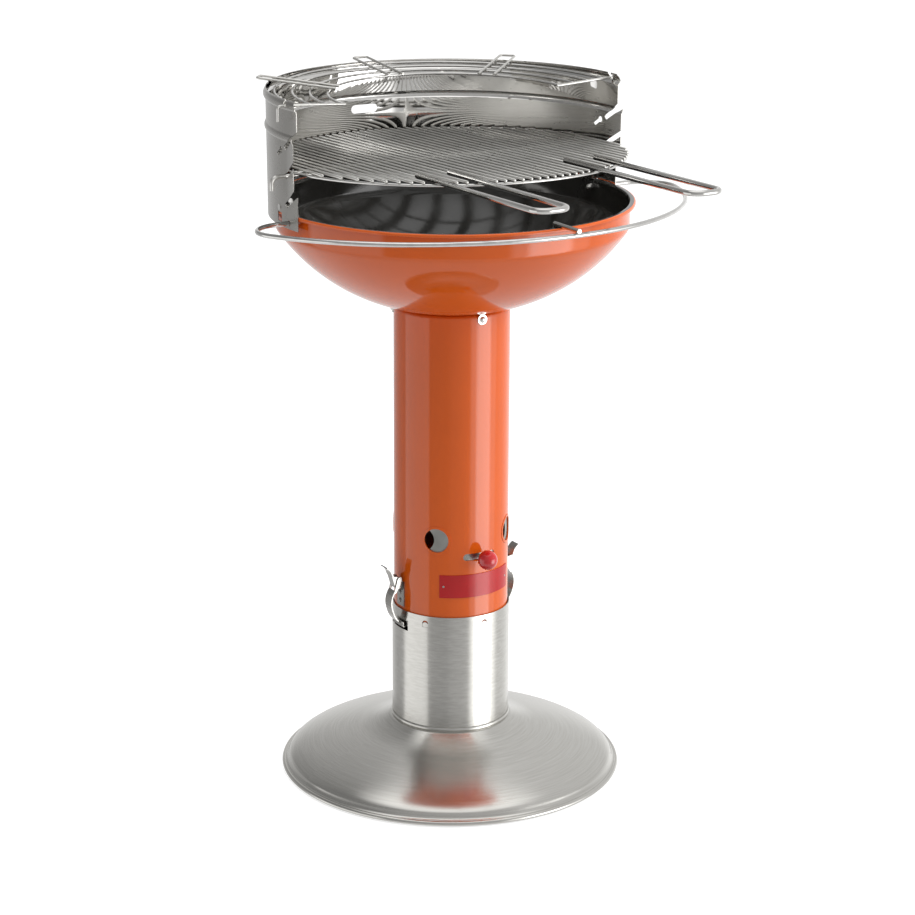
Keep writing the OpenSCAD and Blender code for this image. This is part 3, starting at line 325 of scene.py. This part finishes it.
def filleted(path, r, n):
    """A path whose inner corners are rounded with radius r."""
    path = [np.array(p, float) for p in path]
    out = [path[0]]
    for a, b, c in zip(path, path[1:], path[2:]):
        into, away = (a - b) / np.linalg.norm(a - b), (c - b) / np.linalg.norm(c - b)
        half = math.acos(float(np.clip(np.dot(into, away), -1, 1))) / 2
        middle = (into + away) / np.linalg.norm(into + away)
        centre = b + middle * r / math.sin(half)
        start = b + into * r / math.tan(half) - centre
        end = b + away * r / math.tan(half) - centre
        spread = math.acos(float(np.clip(np.dot(start, end) / r ** 2, -1, 1)))
        for i in range(n + 1):
            t = i / n
            spoke = math.sin((1 - t) * spread) * start + math.sin(t * spread) * end
            out.append(centre + spoke / math.sin(spread))
    return out + [path[-1]]


def tube_mesh(path, d, closed, sides):
    """Points and faces of a round wire along a path, with slightly rounded ends."""
    path = [np.array(p, float) for p in path]
    n = len(path)
    if closed:
        ways = [path[(i + 1) % n] - path[i - 1] for i in range(n)]
    else:
        ways = [path[min(i + 1, n - 1)] - path[max(i - 1, 0)] for i in range(n)]
    ways = [w / np.linalg.norm(w) for w in ways]
    across = np.cross(ways[0], (0.0, 0.0, 1.0))
    if np.linalg.norm(across) < 0.1:
        across = np.cross(ways[0], (0.0, 1.0, 0.0))
    rings = []
    for p, way in zip(path, ways):
        across = across - np.dot(across, way) * way
        across = across / np.linalg.norm(across)
        rings.append((p, way, across, d / 2))
    if not closed:
        bevel = 0.16 * d
        first, last = rings[0], rings[-1]
        rings[0] = (first[0] + bevel * first[1], *first[1:])
        rings[-1] = (last[0] - bevel * last[1], *last[1:])
        rings.insert(0, (first[0], first[1], first[2], d / 2 - bevel))
        rings.append((last[0], last[1], last[2], d / 2 - bevel))
    verts, faces = [], []
    for p, way, side_way, r in rings:
        up_way = np.cross(side_way, way)
        for k in range(sides):
            a = 2 * math.pi * k / sides
            verts.append(p + r * (math.cos(a) * side_way + math.sin(a) * up_way))
    count = len(rings)
    for i in range(count if closed else count - 1):
        j = (i + 1) % count
        for k in range(sides):
            m = (k + 1) % sides
            faces.append((i * sides + k, i * sides + m, j * sides + m, j * sides + k))
    if not closed:
        faces.append(tuple(reversed(range(sides))))
        faces.append(tuple((count - 1) * sides + k for k in range(sides)))
    return verts, faces


def wires(name, paths, d, material, body, cad, closed=False, sides=16):
    """One piece of round wires, one for each path."""
    verts, faces = [], []
    for path in paths:
        more, joined = tube_mesh(path, d, closed, sides)
        faces += [tuple(len(verts) + k for k in face) for face in joined]
        verts += more
    return mesh_object(name, verts, faces, material, body, cad, smooth=50.0)


def rolled_sheet(name, loops, place, thick, material, body, cad, turn_step, levels):
    """A sheet from outlines in (degrees, height), cut into fine strips and rolled up.

    place(turn, z, depth) gives the point in space, and material is for the front, the back and the edges.
    """
    flat = [[Vector((u, z, 0)) for u, z in loop] for loop in loops]
    bm = bmesh.new()
    corners = [bm.verts.new(v) for loop in flat for v in loop]
    for triangle in tessellate_polygon(flat):
        bm.faces.new([corners[i] for i in triangle])
    low, high = min(v[0] for v in flat[0]), max(v[0] for v in flat[0])
    cuts = [((low + turn_step * i, 0, 0), (1, 0, 0)) for i in range(1, int((high - low) / turn_step) + 1)]
    cuts += [((0, z, 0), (0, 1, 0)) for z in levels]
    for at, way in cuts:
        parts = bm.verts[:] + bm.edges[:] + bm.faces[:]
        bmesh.ops.bisect_plane(bm, geom=parts, dist=1e-5, plane_co=at, plane_no=way)
    bm.verts.index_update()
    flat_verts = [(v.co.x, v.co.y) for v in bm.verts]
    tops, walls = [], []
    for face in bm.faces:
        ids = [v.index for v in face.verts]
        if face.calc_area() < 1e-7:
            continue
        area = sum(flat_verts[a][0] * flat_verts[b][1] - flat_verts[b][0] * flat_verts[a][1]
                   for a, b in zip(ids, ids[1:] + ids[:1]))
        tops.append(ids if area > 0 else ids[::-1])
    edges = {(a, b) for ids in tops for a, b in zip(ids, ids[1:] + ids[:1])}
    n = len(flat_verts)
    for a, b in edges:
        if (b, a) not in edges:
            walls.append((b, a, n + a, n + b))
    bm.free()
    verts = [place(u, z, 0.0) for u, z in flat_verts] + [place(u, z, thick) for u, z in flat_verts]
    faces = tops + [[n + i for i in ids[::-1]] for ids in tops] + walls
    split = [0] * len(tops) + [1] * len(tops) + [2] * len(walls)
    return mesh_object(name, verts, faces, material, body, cad, smooth=40.0, split=split)


# Base dish
def dish_line():
    """Upper side of the dish from the pot's foot to the rolled rim."""
    top = POT_R + 2.0
    knee = top + (BASE_R - top) * KNEE_OUT
    knee_z = BASE_H * KNEE_UP
    foot = (BASE_R - 9.5, 13.5)
    pull = (top + (knee - top) * 0.43, knee_z + (BASE_H - knee_z) * 0.35)
    upper = bend3((top, BASE_H), pull, (knee, knee_z), 16)
    lower = bend3((knee, knee_z), (BASE_R - 12, BASE_H * 0.378), foot, 24)
    return [(20.0, BASE_H)] + upper + lower[1:]


rim = [(BASE_R - 7.6, 10.4), (BASE_R - 6.2, 9.0), (BASE_R - 5.0, 8.5), (BASE_R - 4.4, 8.7)]
rim += arc(BASE_R - ROLL_R, ROLL_Z, ROLL_R, 95, -60, 14)
rim += [(BASE_R - 4.4, 0.9), (BASE_R - 6.0, 1.3)]
outer = dish_line() + rim
inner = [(r, z - SHEET) for r, z in reversed(dish_line())]
lathe("dish_shell", outer + [(BASE_R - 7.4, 2.4), (BASE_R - 8.3, 6.0), (BASE_R - 9.4, 10.0)] + inner, "dish",
      "stand", ["base_dish"], ROUND_STEPS)


# Bowl
def bowl_points():
    """Outline of the bowl: outside up, the lip, inside down, with a material for each part."""
    chord = (BOWL_R - SEAT_R, BAND_Z - BOWL_Z)
    middle = ((BOWL_R + SEAT_R) / 2, (BAND_Z + BOWL_Z) / 2)
    length = math.hypot(*chord)
    rise = math.sqrt(BOWL_ARC_R ** 2 - (length / 2) ** 2)
    centre = (middle[0] - rise * chord[1] / length, middle[1] + rise * chord[0] / length)
    a0 = math.degrees(math.atan2(BOWL_Z - centre[1], SEAT_R - centre[0]))
    a1 = math.degrees(math.atan2(BAND_Z - centre[1], BOWL_R - centre[0]))
    neck = SEAT_R - 0.1
    in_r = BOWL_ARC_R - BOWL_WALL
    b0 = -math.degrees(math.acos((neck - BOWL_WALL - centre[0]) / in_r))
    b1 = -math.degrees(math.acos((BOWL_R - BOWL_WALL - centre[0]) / in_r))
    belly = arc(*centre, BOWL_ARC_R, a0, a1, 48)
    outside = [(neck, BOWL_Z - NECK_H), (neck, BOWL_Z)] + belly[1:-1]
    outside += bend3(belly[-2], (BOWL_R, BAND_Z), (BOWL_R, BAND_Z + 4), 4)[1:]
    outside += [(BOWL_R, LIP_Z - 4.6)] + arc(BOWL_R + LIP_ROLL, LIP_Z - 4.2, LIP_ROLL, 180, 90, 4)
    outside += [(LIP_R - 2.6, LIP_Z - 2.0), (LIP_R - LIP_ROLL, LIP_Z - LIP_DROP)]
    lip = [(LIP_R - 1.2, LIP_Z - LIP_DROP), (LIP_R - 0.2, LIP_Z - 4.2), (LIP_R, LIP_Z - 3.4)]
    lip += arc(LIP_R - LIP_ROLL, LIP_Z - LIP_ROLL, LIP_ROLL, 0, 90, 6)
    top = [(BOWL_R + 1.0, LIP_Z)] + arc(BOWL_R + 1.0, LIP_Z - MOUTH_ROLL, MOUTH_ROLL, 90, 180, 5)[1:]
    inside = [(BOWL_R - BOWL_WALL, BAND_Z + 4)] + arc(*centre, in_r, b1, b0, 48)[1:]
    inside += [(neck - BOWL_WALL, BOWL_Z - NECK_H)]
    line = outside + lip + top + inside
    picks = [0] * (len(outside) + len(lip) - 1) + [1] * (len(top) + len(inside) + 1)
    return line, picks


bowl_line, bowl_picks = bowl_points()
lathe("bowl_shell", bowl_line, ["orange", "black"], "stand", ["bowl"], ROUND_STEPS,
      bowl_picks)


# Windscreen
def screen_place(turn, z, depth):
    """A point of the windscreen: two beads, a slight flare upwards, and teeth bent outwards."""
    r = SCREEN_R - depth + FLARE * (z - SCREEN_Z) / (SCREEN_TOP - SCREEN_Z)
    for middle, tall, out in ((RIB_Z, RIB_H, RIB_OUT), (BEAD_Z, BEAD_H, BEAD_OUT)):
        if abs(z - middle) < tall / 2:
            bend = (tall * tall / 4 + out * out) / (2 * out)
            r += out - bend + math.sqrt(bend * bend - (z - middle) ** 2)
    y = -SCREEN_R * math.cos(math.radians(turn))
    above = z - CARRIER_Z - (CARRIER_Y - y) * math.tan(SLOT_TILT)
    if y < CARRIER_Y and abs(above) < SLOT_STEP:
        r += TOOTH_OUT * ((CARRIER_Y - y) / TOOTH_RUN) ** TOOTH_CURVE
    return (r * math.sin(math.radians(turn)), -r * math.cos(math.radians(turn)), z)


def turn_at(y):
    """The angle from the front at which the windscreen's right side passes y."""
    return math.degrees(math.acos(-y / SCREEN_R))


def slot_point(i, along, across):
    """A point of height slot i, in (y, z), from its carrier's place."""
    return (CARRIER_Y + along * math.cos(SLOT_TILT) + across * math.sin(SLOT_TILT),
            CARRIER_Z + i * SLOT_STEP - along * math.sin(SLOT_TILT) + across * math.cos(SLOT_TILT))


def screen_side():
    """The free edge of the windscreen's right side in (y, z), from the bottom up to the rack's notch."""
    front = -SCREEN_R * math.cos(math.radians(SCREEN_AZ))
    half = SLOT_W / 2
    line = [(front, SCREEN_Z)]
    for i in (-1, 0, 1):
        mouth = [(front - CARRIER_Y - s * half * math.sin(SLOT_TILT)) / math.cos(SLOT_TILT) for s in (-1, 1)]
        line.append(slot_point(i, mouth[0], -half))
        line += [slot_point(i, *on_circle(half, a)) for a in range(-90, 91, 18)]
        line.append(slot_point(i, mouth[1], half))
    line += [(front, SCREEN_TOP - CHAMFER_Z), (front + CHAMFER_Y, SCREEN_TOP)]
    notch_z = SCREEN_TOP - NOTCH_H
    return line + [(NOTCH_Y0, SCREEN_TOP), (NOTCH_Y0, notch_z), (NOTCH_Y1, notch_z), (NOTCH_Y1, SCREEN_TOP)]


def keyhole():
    """The keyhole behind the top slot, in (y, z)."""
    c, s = math.cos(SLOT_TILT), math.sin(SLOT_TILT)
    near = [on_circle(KEY_R, a) for a in range(36, 325, 18)]
    far = [(KEY_L + a, b) for a, b in (on_circle(KEY_END_R, turn) for turn in range(-90, 91, 18))]
    y0, z0 = CARRIER_Y + KEY_Y, CARRIER_Z + SLOT_STEP - KEY_DOWN
    return [(y0 + a * c + b * s, z0 - a * s + b * c) for a, b in near + far]


def screen_loops():
    """Outline and holes of the windscreen in (degrees from the front, height)."""
    side_line = screen_side()
    outline = [(turn_at(y), z) for y, z in side_line]
    outline += [(360 - turn_at(y), z) for y, z in reversed(side_line)]
    holes = [[(turn_at(y), z) for y, z in keyhole()], [(360 - turn_at(y), z) for y, z in keyhole()]]
    per_mm = math.degrees(1 / SCREEN_R)
    for turn in (BRACKET_AZ, 360 - BRACKET_AZ):
        holes.append([(turn + WING_R * per_mm * math.cos(a), WING_Z + WING_R * math.sin(a))
                      for a in np.linspace(0, 2 * math.pi, 16, endpoint=False)])
    leg_r = GUARD_D / 2 + HOLE_GAP
    half = WINDOW_W / 2 * per_mm
    left = 360 - BRACKET_AZ
    holes.append([(left - half, WINDOW_Z0), (left + half, WINDOW_Z0), (left + half, WINDOW_Z1),
                  (left - half, WINDOW_Z1)])
    leg_shift = SCREEN_R * math.sin(math.radians(GUARD_TURN))
    left_leg = 360 - turn_at(GUARD_LEG_Y - leg_shift)
    holes.append([(left_leg + leg_r * per_mm * math.cos(a), GUARD_Z + leg_r * math.sin(a))
                  for a in np.linspace(0, 2 * math.pi, 20, endpoint=False)])
    # On the right the guard's leg and the bracket share one opening
    right_leg = turn_at(GUARD_LEG_Y + leg_shift)
    shared = [(BRACKET_AZ + half, WINDOW_Z0), (BRACKET_AZ + half, WINDOW_Z1), (BRACKET_AZ - half, WINDOW_Z1)]
    shared += [(right_leg + leg_r * per_mm * math.cos(math.radians(a)),
                GUARD_Z + leg_r * math.sin(math.radians(a))) for a in range(75, 330, 15)]
    holes.append(shared)
    hand = [(HAND_HALF * k + u, v) for k, a0 in ((1, -90), (-1, 90))
            for u, v in (on_circle(HAND_R, a) for a in range(a0, a0 + 181, 15))]
    holes.append([(180 + u * per_mm, SCREEN_TOP - HAND_DOWN + v) for u, v in hand])
    return [outline] + holes


levels = [z for middle, tall in ((RIB_Z, RIB_H), (BEAD_Z, BEAD_H))
          for z in np.linspace(middle - tall / 2, middle + tall / 2, 11)]
levels += list(np.arange(828, 912, 7.0))
rolled_sheet("screen_sheet", screen_loops(), screen_place, SCREEN_T, ["screen", "screen_in", "screen"],
             "stand", ["windscreen"], 1.0, sorted(levels))


# Tongues that close the lower part of the pot's arches
def tongue_place(turn, z, depth):
    """A point of a tongue in the pot's wall."""
    r = POT_R - TONGUE_INSET - depth
    return (r * math.sin(math.radians(turn)), -r * math.cos(math.radians(turn)), z)


for i in range(TONGUE_N):
    middle = TONGUE_AZ + i * 360 / TONGUE_N
    half = math.degrees((TONGUE_W / 2 + TONGUE_GAP) / POT_R)
    foot = COLUMN_Z - TONGUE_DOWN
    outline = [(middle - half, foot), (middle + half, foot)]
    outline += [(middle + half * x, COLUMN_Z + TONGUE_UP + TONGUE_RISE * y)
                for x, y in (on_circle(1, a) for a in range(0, 181, 12))]
    rolled_sheet(f"pot_tongue_{i + 1}", [outline], tongue_place, TONGUE_T, ["pot", "pot", "pot"],
                 "stand", (), 1.0, [])


# Guard ring
guard_move = moved(0, 0, GUARD_Z) @ turned("Z", GUARD_TURN) @ moved(0, GUARD_LEG_Y, 0)
guard_move = guard_move @ turned("X", -GUARD_TILT) @ moved(0, -GUARD_LEG_Y, 0)
corner_y = GUARD_LEG_Y - GUARD_CORNER_R
corner_x = math.sqrt((GUARD_R - GUARD_CORNER_R) ** 2 - (corner_y - GUARD_BACK) ** 2)
half_turn = 90 + math.degrees(math.atan2(corner_y - GUARD_BACK, corner_x))
guard_line = arc(-corner_x, corner_y, GUARD_CORNER_R, 90, 270 - half_turn, 24)
guard_line += arc(0, GUARD_BACK, GUARD_R, -90 - half_turn, -90 + half_turn, 150)[1:-1]
guard_line += arc(corner_x, corner_y, GUARD_CORNER_R, half_turn - 90, 90, 24)
guard_path = [(-GUARD_END_X, GUARD_LEG_Y)]
guard_path += [(GUARD_SHIFT + x, y) for x, y in guard_line]
guard_path += [(GUARD_END_X, GUARD_LEG_Y)]
wires("guard_wire", [placed(guard_move, [(x, y, 0) for x, y in guard_path])], GUARD_D, "bright", "stand",
      ["guard_ring"], sides=20)


# Cooking grate
grate_move = moved(0, CARRIER_Y, CARRIER_Z) @ turned("X", -GRATE_TILT)
grate_move = grate_move @ moved(GRATE_SHIFT, GRATE_BACK - CARRIER_Y, -CARRIER_Z)
rim_z = CARRIER_Z + CARRIER_D / 2 + RIM_D / 2
rim_path = [(RIM_R * math.sin(a), -RIM_R * math.cos(a), rim_z)
            for a in np.linspace(0, 2 * math.pi, 180, endpoint=False)]
wires("grate_hoop", [placed(grate_move, rim_path)], RIM_D, "bright", "cooking_grate", ["grate_rim"],
      closed=True)
rods = []
rod_z = rim_z + RIM_D / 2 + ROD_D / 2
handle_end = HANDLE_L - HANDLE_REACH
for s in (-1, 1):
    for i in range(RODS_PER_SIDE):
        x = s * (i + 0.5) * PITCH_X
        reach = math.sqrt((RIM_R + RIM_D / 2) ** 2 - x * x)
        start = handle_end + 1 if i in (HANDLE_ROD, HANDLE_ROD + HANDLE_RODS) else -reach
        rods.append(placed(grate_move, [(x, start, rod_z), (x, reach, rod_z)]))
wires("grate_bars", rods, ROD_D, "wire", "cooking_grate", ["grate_rods"], sides=14)
handle_z = rim_z + RIM_D / 2 + HANDLE_D / 2 + HANDLE_GAP
for s, label in ((-1, "left"), (1, "right")):
    x0 = s * (HANDLE_ROD + 0.5) * PITCH_X
    x1 = x0 + s * HANDLE_RODS * PITCH_X
    rest = -math.sqrt(RIM_R ** 2 - x0 ** 2)
    near, far = handle_end - rest, -HANDLE_REACH - rest
    loop = filleted([(x0, near, 0), (x0, far, 0), (x1, far, 0), (x1, near, 0)], HANDLE_BEND, 14)
    droop = grate_move @ moved(0, rest, handle_z) @ turned("X", HANDLE_DROOP)
    wires("handle_" + label, [placed(droop, loop)], HANDLE_D, "handle", "cooking_grate",
          ["grate_handle_" + label], sides=20)


# Warming rack
rack_out_r = SCREEN_R - SCREEN_T - RACK_GAP - RACK_D / 2
rack_z = SCREEN_TOP - NOTCH_H + SEAT_GAP + RACK_D / 2
arcs = []
for i in range(RACK_N):
    r = RACK_IN_R + (rack_out_r - RACK_IN_R) * i / (RACK_N - 1)
    level = rack_z - (rack_out_r - r) * RACK_RISE / (rack_out_r - RACK_IN_R)
    start = math.degrees(math.asin((RACK_BAR_Y + RACK_D / 2) / r))
    path = [(x, y, 0) for x, y in arc(0, 0, r, start, 180 - start, 90)]
    lean = moved(0, RACK_BAR_Y, level) @ turned("X", RACK_TILT) @ moved(0, -RACK_BAR_Y, 0)
    arcs.append(placed(lean, path))
wires("rack_curves", arcs, RACK_D, "bright", "warming_rack", ["rack_arcs"], sides=12)


# Camera
CAM_AZ, DISTANCE, HEIGHT = math.radians(30.4), 3.56364, 1.51710
PITCH, YAW, ROLL = 0.29077, 0.00243, 0.00504
PICTURE, SENSOR, FOCAL_PIXELS = 915, 36, 2678.28
ahead = Vector((math.sin(CAM_AZ), math.cos(CAM_AZ), 0))
side = Vector((math.cos(CAM_AZ), -math.sin(CAM_AZ), 0))
right = math.cos(YAW) * side - math.sin(YAW) * ahead
level = math.sin(YAW) * side + math.cos(YAW) * ahead
up = math.sin(PITCH) * level + math.cos(PITCH) * Vector((0, 0, 1))
view = math.cos(PITCH) * level - math.sin(PITCH) * Vector((0, 0, 1))
picture_x = math.cos(ROLL) * right + math.sin(ROLL) * up
picture_y = -math.sin(ROLL) * right + math.cos(ROLL) * up
lens = bpy.data.cameras.new("camera")
lens.lens = FOCAL_PIXELS / PICTURE * SENSOR
lens.sensor_width = SENSOR
lens.sensor_fit = "HORIZONTAL"
lens.clip_end = 100
camera = bpy.data.objects.new("camera", lens)
turn = Matrix((picture_x, picture_y, -view)).transposed().to_4x4()
camera.matrix_world = Matrix.Translation(-DISTANCE * ahead + Vector((0, 0, HEIGHT))) @ turn
scene.collection.objects.link(camera)
scene.camera = camera


# Studio: light by angle from the camera's side in degrees, near the horizon and higher up
LOW_LIGHT = [(-180, 1.0), (-150, 0.65), (-130, 0.5), (-106, 0.5), (-101, 1.3), (-47, 1.2), (-43, 0.42),
             (-6, 0.4), (-2, 0.48), (36, 0.62), (41, 1.7), (48, 1.9), (53, 4.6), (80, 4.6), (86, 1.9),
             (98, 1.5), (101, 0.9), (125, 0.95), (150, 1.2), (180, 1.0)]
HIGH_LIGHT = [(-180, 0.8), (-150, 0.4), (-105, 0.25), (-60, 0.3), (-35, 0.45), (0, 0.52), (40, 0.6),
              (60, 0.8), (100, 0.75), (140, 0.8), (180, 0.8)]
OVERHEAD_LIGHT, UNDER_LIGHT = 1.5, 0.9
FLOOR_SIZE, FLOOR_Z, FLOOR_GREY, FLOOR_GLOW, FLOOR_GLOSS, GLOSS_ROUGH = 60, -0.0003, 0.62, 0.66, 0.07, 0.12


def floor_piece():
    """A pale floor that keeps the shadow and mirrors a little."""
    bpy.ops.mesh.primitive_plane_add(size=FLOOR_SIZE, location=(0, 0, FLOOR_Z))
    floor = bpy.context.object
    floor.name = "floor"
    made = bpy.data.materials.new("pale_floor")
    made.use_nodes = True
    g = Graph(made.node_tree)
    out = g.node("ShaderNodeOutputMaterial")
    matt = g.node("ShaderNodeBsdfDiffuse")
    matt.inputs["Color"].default_value = shade(FLOOR_GREY)
    glow = g.node("ShaderNodeEmission")
    glow.inputs["Color"].default_value = (1, 1, 1, 1)
    seen = g.node("ShaderNodeLightPath").outputs["Is Camera Ray"]
    g.link(g.math("MULTIPLY", seen, FLOOR_GLOW), glow.inputs["Strength"])
    both = g.node("ShaderNodeAddShader")
    g.link(matt.outputs[0], both.inputs[0])
    g.link(glow.outputs[0], both.inputs[1])
    gloss = g.node("ShaderNodeBsdfGlossy")
    gloss.inputs["Roughness"].default_value = GLOSS_ROUGH
    mixed = g.node("ShaderNodeMixShader")
    mixed.inputs[0].default_value = FLOOR_GLOSS
    g.link(both.outputs[0], mixed.inputs[1])
    g.link(gloss.outputs[0], mixed.inputs[2])
    g.link(mixed.outputs[0], out.inputs["Surface"])
    floor.data.materials.append(made)
    floor.visible_glossy = False


def studio_light():
    """A white world for the camera, and soft upright panels of light for everything else."""
    world = bpy.data.worlds.new("studio")
    scene.world = world
    world.use_nodes = True
    g = Graph(world.node_tree)
    out = g.node("ShaderNodeOutputWorld")
    back = g.node("ShaderNodeBackground")
    split = g.node("ShaderNodeSeparateXYZ")
    g.link(g.node("ShaderNodeTexCoord").outputs["Generated"], split.inputs[0])
    x, y, z = split.outputs
    # Angle from the camera's side of the object, as 0 to 1 for -180 to 180 degrees
    ca, sa = math.cos(CAM_AZ), math.sin(CAM_AZ)
    aside = g.math("SUBTRACT", g.math("MULTIPLY", x, ca), g.math("MULTIPLY", y, sa))
    toward = g.math("SUBTRACT", g.math("MULTIPLY", x, -sa), g.math("MULTIPLY", y, ca))
    angle = g.math("ADD", g.math("DIVIDE", g.math("ARCTAN2", aside, toward), 2 * math.pi), 0.5)

    def stops(pairs):
        """Angles as places on a ramp."""
        return [((a + 180) / 360, v) for a, v in pairs]

    low = g.ramp(angle, stops(LOW_LIGHT))
    high = g.ramp(angle, stops(HIGH_LIGHT))
    # Height of the view, 0 for straight down, 0.5 for the horizon and 1 for straight up
    height = g.math("ADD", g.math("MULTIPLY", z, 0.5), 0.5)
    mixed = g.mix(g.ramp(height, [(0.5, 0.0), (0.62, 1.0)]), low, high)
    over = g.mix(g.ramp(height, [(0.91, 0.0), (0.965, 1.0)]), mixed, OVERHEAD_LIGHT)
    under = g.mix(g.ramp(height, [(0.2, 1.0), (0.3, 0.0)]), over, UNDER_LIGHT)
    seen = g.node("ShaderNodeLightPath").outputs["Is Camera Ray"]
    g.link(g.mix(seen, under, 1), back.inputs["Color"])
    g.link(back.outputs[0], out.inputs["Surface"])


def panel(name, azimuth, distance, height, width, tall, power, aim_z):
    """A soft lamp at an angle from the front, aimed at the axis."""
    lamp = bpy.data.lights.new(name, "AREA")
    lamp.shape = "RECTANGLE"
    lamp.size = width
    lamp.size_y = tall
    lamp.energy = power
    made = bpy.data.objects.new(name, lamp)
    turn = math.radians(azimuth)
    place = Vector((distance * math.sin(turn), -distance * math.cos(turn), height))
    made.location = place
    made.rotation_euler = (Vector((0, 0, aim_z)) - place).to_track_quat("-Z", "Y").to_euler()
    scene.collection.objects.link(made)
    made.visible_glossy = False


floor_piece()
studio_light()
panel("key_light", 62, 3.2, 2.0, 1.6, 1.6, 92, 0.5)
panel("top_light", -30, 0.8, 3.4, 2.4, 2.4, 30, 0.4)

scene.view_settings.view_transform = "Standard"
